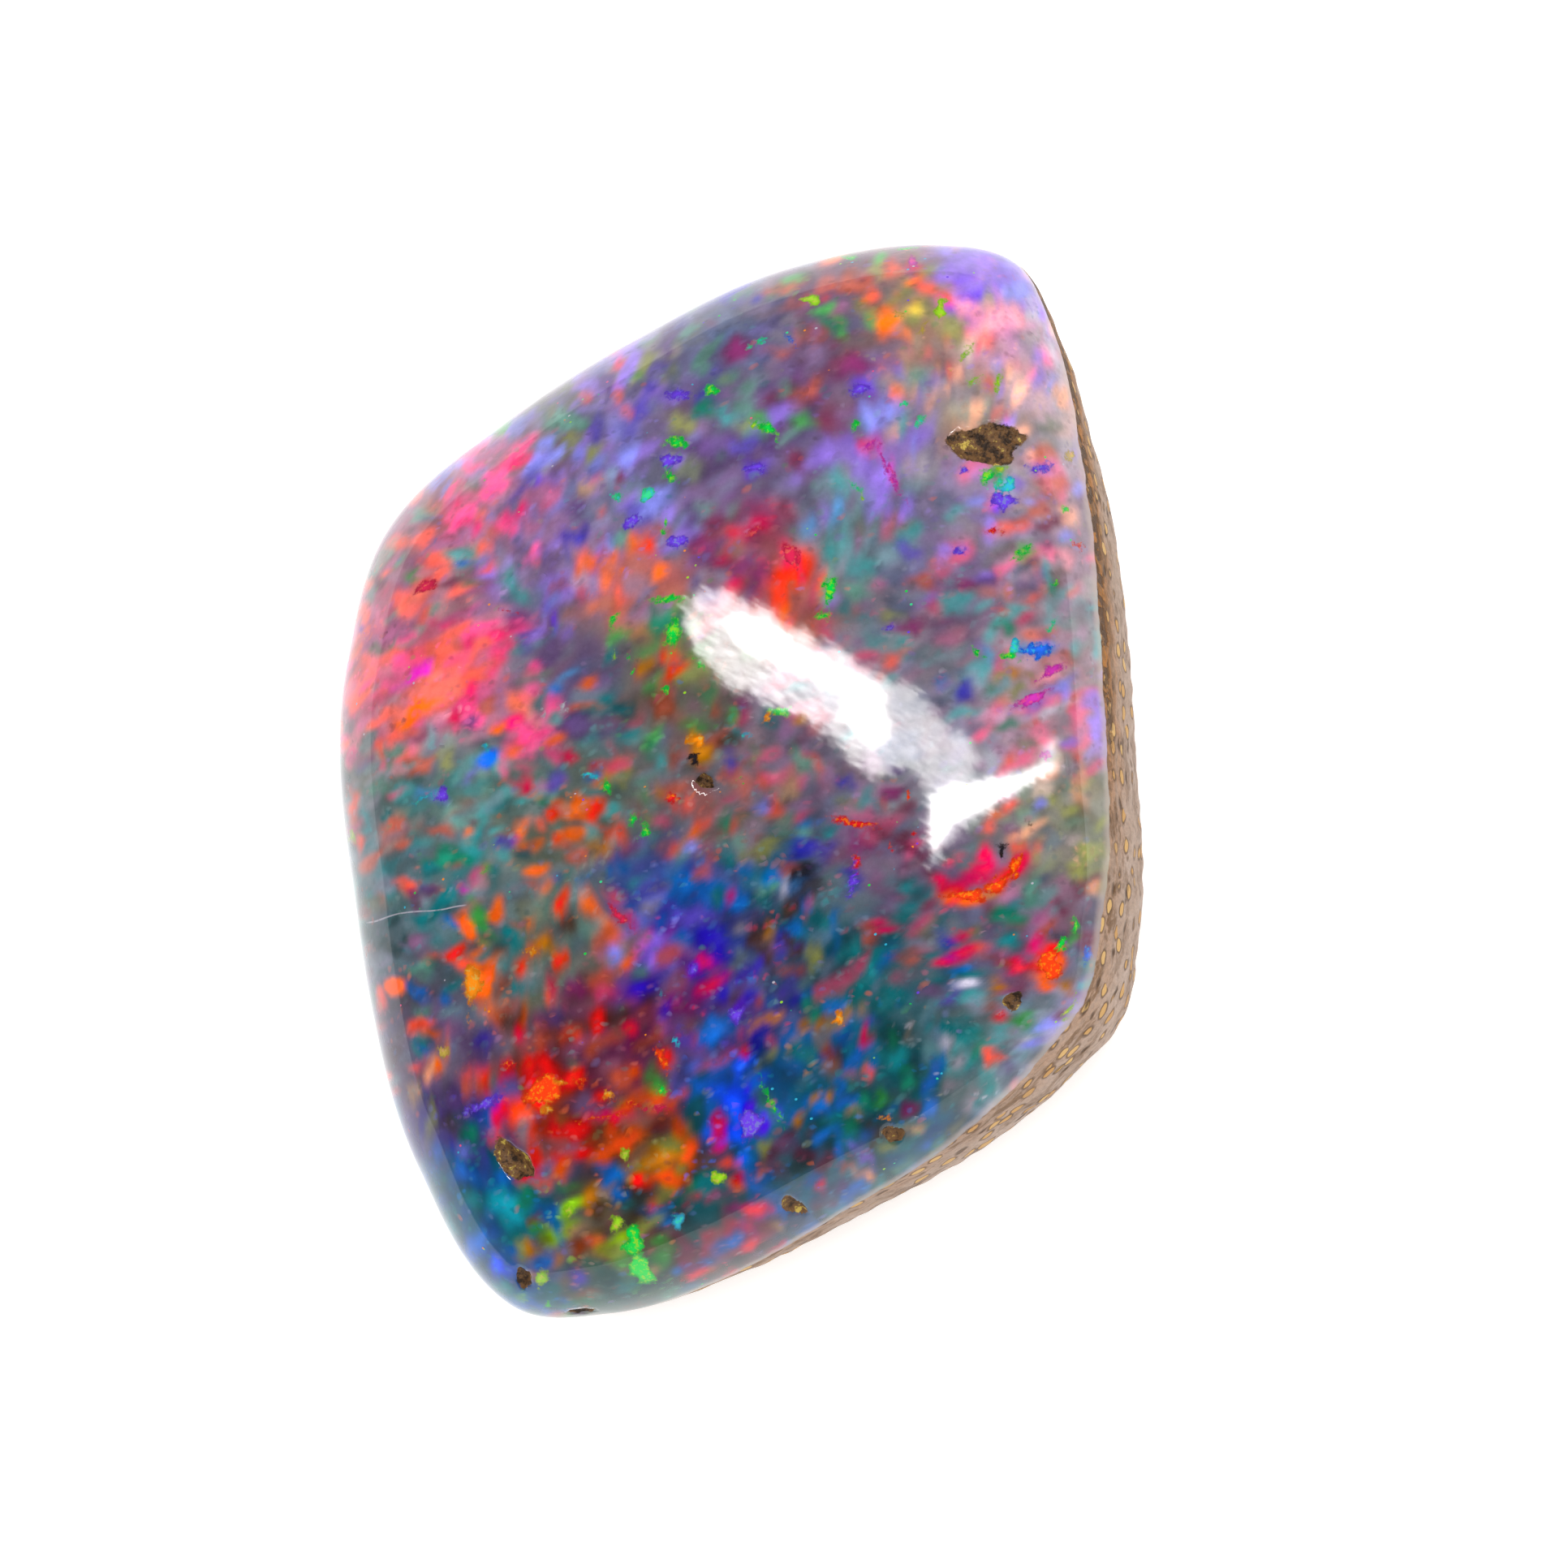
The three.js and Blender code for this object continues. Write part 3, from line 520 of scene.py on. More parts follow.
    ("dusk", 0.0, -7.4, 0.5, 0.45, 0), ("olive", -0.4, -7.5, 0.4, 0.3, 90),
    ("rust", -3.9, -7.3, 0.4, 0.3, 0), ("orange", -3.4, -7.45, 1.3, 0.26, 38),
    ("wine", -2.5, -7.1, 0.4, 0.18, 0), ("amber", -2.4, -7.7, 1.2, 0.55, 0),
    ("olive", -2.4, -7.42, 0.8, 0.22, 0), ("orange", -1.95, -7.65, 0.6, 0.28, 80),
    ("scarlet", -2.95, -8.15, 0.6, 0.3, -30), ("orange", -2.4, -8.1, 0.8, 0.32, 0),
    ("olive", -2.5, -8.5, 0.55, 0.25, 30), ("jade", -2.15, -8.6, 0.4, 0.25, 60),
    ("fog", -3.5, -8.0, 0.6, 0.4, 0), ("azure", -3.4, -8.4, 0.5, 0.35, 80),
    ("teal", -1.6, -8.2, 0.8, 0.6, 0), ("lagoon", -1.7, -8.75, 1.0, 0.7, 0),
    ("jade", -1.9, -8.3, 0.9, 0.14, 55), ("azure", -0.6, -8.2, 0.9, 0.3, -60),
    ("plum", -0.9, -8.7, 0.5, 0.4, 30), ("crimson", -0.6, -8.8, 0.6, 0.3, 20),
    ("deep", 0.3, -7.9, 0.5, 0.4, 0), ("crimson", 0.75, -8.3, 0.4, 0.32, 0),
    # The lower end
    ("scarlet", -5.0, -6.35, 0.9, 0.7, 60), ("scarlet", -4.25, -6.15, 0.4, 0.2, 45),
    ("coral", -5.35, -6.8, 0.8, 0.4, 85), ("rust", -4.85, -6.95, 0.5, 0.35, 80),
    ("red", -4.4, -7.15, 0.8, 0.4, 10), ("scarlet", -4.25, -7.6, 0.9, 0.2, 15),
    ("dove", -5.35, -7.1, 0.5, 0.3, 90), ("coral", -5.95, -7.25, 0.3, 0.28, 0),
    ("dusk", -4.1, -6.6, 0.6, 0.4, 0), ("purple", -6.8, -6.5, 1.2, 0.6, 10),
    ("indigo", -6.25, -6.75, 0.8, 0.2, 40), ("violet", -5.95, -6.6, 0.3, 0.18, 40),
    ("brick", -6.4, -6.25, 0.6, 0.35, 0), ("olive", -7.25, -6.9, 0.8, 0.22, 90),
    ("clay", -7.6, -6.4, 0.7, 0.3, 90), ("umber", -6.9, -6.95, 0.5, 0.3, 0),
    ("jade", -6.45, -7.2, 0.6, 0.38, 20), ("azure", -7.05, -7.55, 0.4, 0.3, 0),
    ("periwinkle", -6.6, -7.6, 0.5, 0.28, 0), ("lagoon", -5.9, -7.6, 0.5, 0.35, 90),
    ("azure", -6.6, -8.0, 0.5, 0.4, 0), ("teal", -6.4, -8.6, 0.8, 0.55, 0),
    ("slate", -6.7, -8.85, 0.25, 0.2, 0), ("azure", -5.8, -8.2, 0.6, 0.38, 80),
    ("cove", -5.6, -8.75, 0.9, 0.7, 0), ("jade", -5.3, -8.5, 0.6, 0.35, 30),
    ("salmon", -4.9, -8.2, 0.5, 0.25, 20), ("scarlet", -5.3, -8.12, 0.6, 0.12, 10),
    ("olive", -5.45, -8.3, 0.3, 0.18, 90), ("orange", -4.55, -7.95, 0.6, 0.3, 70),
    ("leaf", -4.4, -8.3, 0.5, 0.28, 20), ("amber", -4.0, -8.5, 0.55, 0.4, 40),
    ("umber", -3.8, -8.75, 0.38, 0.35, 0), ("azure", -3.6, -8.0, 0.5, 0.3, 0),
    ("rust", -5.1, -8.95, 0.35, 0.28, 60), ("leaf", -5.1, -9.15, 0.45, 0.25, 0),
    ("teal", -5.5, -9.3, 0.4, 0.3, 80), ("olive", -5.3, -9.6, 0.55, 0.45, 60),
    ("amber", -5.15, -9.55, 0.4, 0.25, 80), ("azure", -4.7, -9.1, 0.9, 0.22, -75),
    ("azure", -4.85, -9.8, 0.4, 0.28, 80), ("clay", -4.3, -9.2, 0.5, 0.28, 0),
    ("rust", -4.25, -9.55, 0.5, 0.35, 80), ("salmon", -3.9, -9.4, 0.35, 0.28, 0),
    ("olive", -3.5, -9.6, 0.4, 0.35, 0), ("azure", -6.3, -9.5, 0.9, 0.6, 40),
    ("blue", -5.9, -9.9, 0.5, 0.4, 0), ("cove", -6.85, -9.1, 0.4, 0.3, -60),
    ("sea", -5.7, -10.4, 0.5, 0.35, 0), ("teal", -4.8, -10.5, 0.5, 0.35, 80),
    ("iris", -4.2, -10.2, 0.5, 0.35, 80), ("lagoon", -3.6, -10.15, 0.4, 0.35, 0),
    ("jade", -4.2, -10.65, 0.8, 0.22, 0), ("olive", -2.9, -9.1, 0.8, 0.3, 30),
    ("wine", -2.0, -9.6, 0.8, 0.6, 0), ("umber", -2.35, -9.5, 0.45, 0.35, 90),
    ("plum", -1.9, -9.9, 0.4, 0.25, 0), ("clay", -2.7, -10.05, 0.32, 0.2, 0),
    ("plum", -0.75, -9.2, 0.8, 0.28, 40), ("azure", -1.05, -9.4, 0.45, 0.32, 40),
    ("clay", -0.1, -9.15, 0.35, 0.22, 0), ("mauve", -1.2, -9.8, 0.6, 0.2, 25),
    ("teal", -3.2, -10.3, 0.5, 0.25, 0),
    # The upper end
    ("lilac", 3.9, 10.55, 1.7, 0.85, 0), ("mallow", 2.6, 10.45, 0.6, 0.35, -40),
    ("lilac", 4.5, 10.4, 0.6, 0.4, 10), ("violet", 4.1, 10.12, 0.55, 0.25, 15),
    ("periwinkle", 4.8, 10.1, 0.6, 0.55, 0), ("pearl", 5.15, 9.7, 0.6, 0.35, -60),
    ("hot", 2.7, 10.7, 0.32, 0.2, 0), ("brick", 1.4, 10.3, 0.7, 0.5, 0),
    ("coral", 1.75, 10.1, 0.7, 0.24, -70), ("salmon", 2.2, 10.55, 0.6, 0.25, -60),
    ("olive", 2.7, 9.7, 0.75, 0.5, 0), ("gold", 2.6, 9.75, 0.5, 0.3, 20),
    ("olive", 3.4, 9.4, 0.8, 0.6, 0), ("coral", 2.9, 10.2, 0.5, 0.28, -30),
    ("orange", 3.3, 10.02, 0.5, 0.22, -20), ("olive", 1.6, 9.7, 0.6, 0.2, -40),
    ("leaf", 1.15, 9.4, 0.45, 0.28, -60), ("blush", 4.4, 9.5, 1.1, 0.8, 0),
    ("blush", 3.8, 9.75, 0.8, 0.4, -20), ("salmon", 4.15, 9.1, 0.6, 0.35, 30),
    ("sand", 3.8, 8.95, 0.5, 0.4, 0), ("lilac", 5.2, 8.8, 0.55, 0.28, 25),
    ("lilac", 5.25, 8.35, 0.5, 0.28, 85), ("blush", 4.85, 8.55, 0.4, 0.25, 40),
    ("pearl", 5.5, 8.9, 1.2, 0.22, 110), ("peach", 5.75, 7.9, 0.6, 0.28, -60),
    ("periwinkle", 5.45, 8.2, 0.4, 0.25, 80), ("brick", 1.9, 8.65, 0.6, 0.15, 0),
    ("plum", 1.4, 8.6, 0.8, 0.5, 0), ("peach", 2.1, 8.4, 0.28, 0.16, 0),
    ("rose", 2.6, 8.9, 0.18, 0.16, 0), ("coral", 3.05, 8.87, 0.35, 0.25, 0),
    ("slate", 2.3, 9.0, 0.8, 0.22, 0), ("peach", 3.1, 8.5, 0.25, 0.14, 90),
    ("coral", 3.4, 8.4, 0.32, 0.15, 60), ("coral", 4.15, 8.3, 0.6, 0.2, -70),
    ("violet", 1.6, 8.15, 0.45, 0.25, 0), ("sage", 2.5, 8.2, 1.2, 0.22, -5),
    ("dove", 3.6, 8.0, 1.4, 0.35, -5), ("periwinkle", 1.9, 7.6, 1.0, 0.7, 0),
    ("sea", 2.4, 7.4, 0.6, 0.3, 20), ("jade", 1.5, 7.35, 0.32, 0.28, 0),
    ("clay", 3.4, 7.5, 0.35, 0.2, -40), ("coral", 4.5, 7.6, 0.3, 0.2, 0),
    ("clay", 5.1, 7.6, 0.4, 0.2, 20), ("moss", 5.5, 7.4, 0.7, 0.4, 0), ("brick", 5.35, 6.8, 0.5, 0.3, 20),
    ("lilac", 1.6, 6.6, 0.9, 0.5, -60), ("lilac", 1.95, 6.25, 0.9, 0.6, -60),
    ("hot", 1.7, 6.95, 0.4, 0.24, -20), ("magenta", 2.1, 6.6, 1.2, 0.18, -60),
    ("periwinkle", 2.7, 6.8, 0.6, 0.16, -75), ("dove", 2.9, 6.5, 0.9, 0.4, 90),
    ("mauve", 3.4, 6.6, 0.5, 0.2, 0), ("lilac", 5.3, 6.5, 0.6, 0.22, 15),
    ("brick", 5.5, 6.1, 0.8, 0.35, 20), ("cyan", 4.6, 6.1, 0.32, 0.25, 0),
    ("leaf", 4.4, 6.4, 0.5, 0.25, 40), ("violet", 4.82, 6.2, 0.3, 0.2, 0),
    # Right of the middle, above the highlight
    ("sky", 1.1, 5.7, 0.4, 0.3, 90), ("lilac", 1.9, 5.7, 0.6, 0.5, 0), ("brick", 2.3, 5.35, 0.5, 0.28, 0),
    ("lilac", 2.5, 5.65, 0.5, 0.35, 60), ("moss", 1.7, 5.3, 0.5, 0.35, 0),
    ("mauve", 1.5, 4.95, 0.5, 0.3, 80), ("violet", 4.5, 5.8, 0.7, 0.28, 15),
    ("periwinkle", 3.9, 5.75, 0.6, 0.28, 10), ("slate", 3.3, 5.8, 0.6, 0.35, 0),
    ("dove", 3.6, 5.35, 0.6, 0.28, 0), ("coral", 4.7, 5.32, 1.1, 0.25, 20),
    ("brick", 5.2, 5.6, 0.9, 0.32, 20), ("wine", 5.5, 5.35, 0.8, 0.22, 20),
    ("plum", 5.45, 4.95, 0.5, 0.16, 50), ("iris", 2.55, 4.75, 0.4, 0.38, 0),
    ("lilac", 3.6, 4.8, 0.32, 0.14, 0), ("moss", 4.4, 4.75, 0.9, 0.2, 30),
    ("deep", 5.0, 4.5, 0.5, 0.25, 20), ("leaf", 4.95, 4.75, 0.6, 0.2, 30),
    ("slate", 2.2, 4.3, 0.6, 0.5, 0), ("sage", 1.4, 4.0, 0.7, 0.5, 0),
    ("mallow", 1.9, 4.05, 0.32, 0.28, 0), ("brick", 3.0, 4.35, 0.9, 0.35, 35),
    ("plum", 3.7, 4.1, 0.6, 0.3, 0), ("purple", 4.2, 4.15, 0.5, 0.35, 0),
    ("dusk", 3.25, 4.1, 0.5, 0.28, 0), ("rose", 3.1, 3.65, 0.45, 0.25, -80),
    ("slate", 2.4, 3.7, 0.5, 0.45, 0), ("teal", 1.5, 3.4, 0.8, 0.26, 0),
    ("olive", 2.2, 3.45, 0.4, 0.22, 0), ("plum", 2.6, 3.25, 1.4, 0.25, 10),
    ("lilac", 2.1, 3.2, 0.4, 0.12, 10), ("coral", 4.5, 3.55, 0.22, 0.14, 20),
    ("jade", 4.5, 3.25, 0.45, 0.35, 0), ("coral", 5.1, 3.85, 0.35, 0.15, 40),
    ("jade", 5.5, 4.05, 0.3, 0.2, 80), ("dusk", 4.9, 4.05, 0.5, 0.35, 0),
    ("rose", 5.0, 3.4, 0.5, 0.18, 50), ("blush", 5.8, 4.6, 0.4, 0.25, 80),
    ("coral", 5.97, 4.0, 0.25, 0.16, 80), ("coral", 2.15, 2.45, 0.5, 0.4, 60),
    ("salmon", 2.4, 2.7, 0.35, 0.15, 10), ("fog", 3.3, 2.65, 1.2, 0.5, 10),
    ("sky", 4.2, 2.6, 0.4, 0.3, 80), ("sky", 4.8, 2.8, 0.35, 0.32, 0),
    ("periwinkle", 5.3, 2.8, 0.65, 0.28, 10), ("olive", 4.4, 2.25, 0.4, 0.2, 0),
    ("amber", 4.7, 2.28, 0.3, 0.28, 0), ("clay", 5.0, 2.2, 0.4, 0.25, 30),
    ("blush", 5.4, 2.2, 0.65, 0.2, 25), ("periwinkle", 5.6, 2.0, 0.8, 0.25, 30),
    ("indigo", 3.7, 1.9, 0.6, 0.42, 80), ("azure", 3.2, 2.1, 0.5, 0.32, 0),
    ("slate", 3.2, 1.7, 0.4, 0.35, 0), ("peach", 4.5, 1.75, 0.32, 0.22, 0),
    ("olive", 4.75, 1.9, 0.5, 0.32, 0), ("jade", 4.6, 1.2, 0.5, 0.25, 20),
    ("brick", 5.1, 1.3, 0.6, 0.2, 30), ("pearl", 5.5, 1.5, 0.8, 0.3, 30),
    ("lilac", 5.1, 1.65, 0.7, 0.2, 30), ("sage", 4.2, 1.95, 0.3, 0.28, 0),
    ("mauve", 4.0, 1.2, 0.6, 0.2, 10),
    # Right of the middle, below the highlight
    ("coral", 4.55, 0.45, 0.42, 0.2, 50), ("lilac", 5.35, 0.6, 0.3, 0.2, 0),
    ("moss", 5.0, 0.8, 0.4, 0.35, 0), ("indigo", 1.3, 0.05, 0.4, 0.3, 80),
    ("olive", 1.2, -0.35, 0.4, 0.25, 0), ("plum", 2.2, -0.2, 0.45, 0.35, 0),
    ("red", 2.05, -0.4, 0.25, 0.2, 90), ("wine", 2.05, -1.0, 0.45, 0.28, 30),
    ("slate", 2.5, -0.75, 0.9, 0.16, 38), ("wine", 2.65, -1.35, 0.6, 0.22, -40),
    ("wine", 2.95, -1.8, 0.5, 0.2, -45), ("purple", 2.3, 0.25, 0.5, 0.28, 0),
    ("plum", 1.5, -1.3, 0.6, 0.4, 80), ("indigo", 1.4, -2.0, 0.7, 0.26, 80),
    ("mauve", 1.9, -1.9, 0.8, 0.28, 90), ("dusk", 2.2, -2.4, 0.6, 0.45, 80),
    ("teal", 2.55, -2.1, 0.6, 0.38, -50), ("brick", 1.7, -3.05, 0.5, 0.35, 90),
    ("hot", 2.05, -2.93, 0.4, 0.24, 0), ("azure", 1.05, -2.9, 0.7, 0.22, 90),
    ("teal", 1.5, -3.4, 0.6, 0.24, 85), ("azure", 2.15, -3.6, 0.4, 0.24, 60),
    ("indigo", 1.92, -3.75, 0.32, 0.15, 70), ("brick", 2.6, -3.5, 0.6, 0.28, 85),
    ("crimson", 3.2, -2.05, 0.5, 0.25, -60), ("orange", 3.8, -2.35, 0.9, 0.3, 12),
    ("scarlet", 3.5, -2.25, 0.45, 0.2, 0), ("orange", 4.35, -2.15, 0.7, 0.25, 30),
    ("scarlet", 4.5, -1.95, 0.6, 0.22, 40), ("crimson", 4.8, -1.62, 0.45, 0.22, 60),
    ("fog", 3.7, -1.5, 0.8, 0.5, 0), ("dusk", 3.5, -1.9, 0.4, 0.25, 0),
    ("orange", 4.35, -0.6, 0.32, 0.2, 0), ("coral", 4.2, -0.92, 0.4, 0.32, 90),
    ("coral", 4.65, -0.5, 0.32, 0.22, 30), ("coral", 4.75, -1.25, 0.4, 0.24, 90),
    ("mauve", 4.7, -0.85, 0.4, 0.28, 90), ("salmon", 5.2, -1.3, 0.4, 0.25, 30),
    ("olive", 5.5, -0.35, 0.6, 0.35, 0), ("sand", 5.25, -0.1, 0.5, 0.3, 20),
    ("sage", 5.9, 0.0, 0.5, 0.28, 90), ("fog", 5.5, -1.1, 0.5, 0.4, 0),
    ("periwinkle", 5.2, -0.45, 0.45, 0.2, 50), ("peach", 6.05, 0.1, 1.3, 0.22, 92),
    ("coral", 6.0, 0.55, 0.3, 0.14, 90), ("sage", 5.1, -2.2, 0.8, 0.4, 90),
    ("jade", 4.6, -2.75, 0.8, 0.45, 0), ("wine", 5.7, -2.6, 0.45, 0.22, -60),
    ("brick", 5.4, -3.0, 0.5, 0.25, 40), ("teal", 4.6, -3.2, 0.6, 0.4, 0),
    ("indigo", 3.35, -3.3, 0.8, 0.26, -72), ("olive", 3.95, -3.1, 0.5, 0.24, 85),
    ("orange", 4.1, -3.42, 0.45, 0.25, -40), ("rust", 4.45, -3.62, 0.6, 0.2, -35),
    ("crimson", 4.85, -3.75, 0.5, 0.28, -30), ("moss", 3.0, -3.0, 0.6, 0.28, 80),
    ("scarlet", 5.4, -3.6, 0.75, 0.65, 80), ("orange", 5.55, -3.8, 0.5, 0.35, 80),
    ("hot", 5.2, -3.3, 0.4, 0.3, 40), ("ink", 5.6, -3.15, 0.35, 0.22, -50),
    ("leaf", 5.92, -3.1, 0.4, 0.15, 80),
    # The lower right
    ("teal", 2.2, -4.4, 0.8, 0.5, 0), ("teal", 1.5, -4.2, 0.6, 0.35, 0),
    ("clay", 1.6, -4.65, 0.3, 0.2, 90), ("dusk", 3.0, -4.3, 0.6, 0.45, 0),
    ("iris", 3.45, -4.3, 0.5, 0.35, 80), ("amber", 4.35, -4.2, 0.4, 0.28, 80),
    ("red", 4.42, -4.7, 0.32, 0.2, 80), ("rust", 4.2, -4.5, 0.4, 0.22, 60),
    ("orange", 5.4, -4.08, 0.6, 0.2, -10), ("amber", 5.8, -4.2, 0.45, 0.25, -20),
    ("leaf", 4.95, -4.85, 0.6, 0.3, 40), ("fog", 5.3, -4.5, 0.6, 0.4, 30),
    ("periwinkle", 5.15, -5.25, 0.6, 0.3, 50), ("dove", 4.7, -5.2, 0.5, 0.28, 80),
    ("iris", 1.75, -4.9, 0.32, 0.2, 0), ("crimson", 1.7, -5.15, 0.3, 0.24, 90),
    ("jade", 2.2, -5.25, 0.35, 0.28, 0), ("clay", 2.55, -5.1, 0.3, 0.14, 90),
    ("umber", 1.15, -5.6, 0.4, 0.32, -60), ("coral", 1.75, -5.95, 0.28, 0.24, 0),
    ("mauve", 1.4, -6.0, 0.4, 0.28, 0), ("teal", 2.35, -5.7, 0.7, 0.6, 0),
    ("jade", 2.6, -6.05, 0.55, 0.45, 0), ("teal", 3.5, -5.0, 0.8, 0.4, 0),
    ("azure", 3.1, -5.85, 0.7, 0.28, 70), ("azure", 2.95, -6.5, 0.9, 0.36, 85),
    ("pearl", 3.3, -5.35, 0.5, 0.24, -60), ("dove", 3.6, -5.75, 0.5, 0.35, -40),
    ("dove", 3.4, -6.2, 0.5, 0.32, 90), ("dove", 3.85, -6.5, 0.55, 0.4, 90),
    ("teal", 4.0, -6.6, 0.35, 0.3, 0), ("jade", 4.0, -5.5, 0.5, 0.3, 90),
    ("coral", 4.25, -5.6, 0.5, 0.26, -60), ("sea", 4.2, -6.2, 0.5, 0.26, 90),
    ("purple", 4.6, -5.9, 0.4, 0.28, 0), ("blush", 4.75, -6.25, 0.35, 0.22, 40),
    ("azure", 1.15, -6.4, 0.6, 0.28, 90), ("jade", 1.7, -6.5, 0.42, 0.35, 0),
    ("clay", 1.45, -6.75, 0.4, 0.25, 20), ("leaf", 2.0, -6.5, 0.4, 0.35, -50),
    ("plum", 2.55, -6.7, 0.4, 0.35, 0), ("jade", 1.4, -7.0, 0.5, 0.26, 80),
    ("umber", 1.85, -7.2, 0.55, 0.35, 80), ("azure", 1.1, -7.4, 0.6, 0.28, 90),
    ("clay", 2.7, -7.1, 0.5, 0.28, 0), ("lilac", 1.6, -7.6, 0.7, 0.25, -60),
    ("olive", 2.05, -7.5, 0.32, 0.28, 0), ("peach", 1.65, -8.05, 0.32, 0.22, 0),
    ("brick", 1.35, -7.9, 0.3, 0.18, 0), ("sage", 2.5, -7.8, 0.7, 0.28, 20),
    ("purple", 1.15, -8.3, 0.4, 0.28, 0), ("sea", 1.9, -8.2, 0.5, 0.25, 20),
    ("sage", 3.1, -7.5, 0.5, 0.25, 30), ("moss", 3.5, -7.1, 0.5, 0.3, 40),
]

# A hairline crack that healed, across and up the view, and half its width
CRACK = [(-8.6, -2.86), (-8.33, -2.78), (-7.9, -2.68), (-7.4, -2.62), (-6.95, -2.57), (-6.5, -2.48)]
CRACK_HALF = 0.016

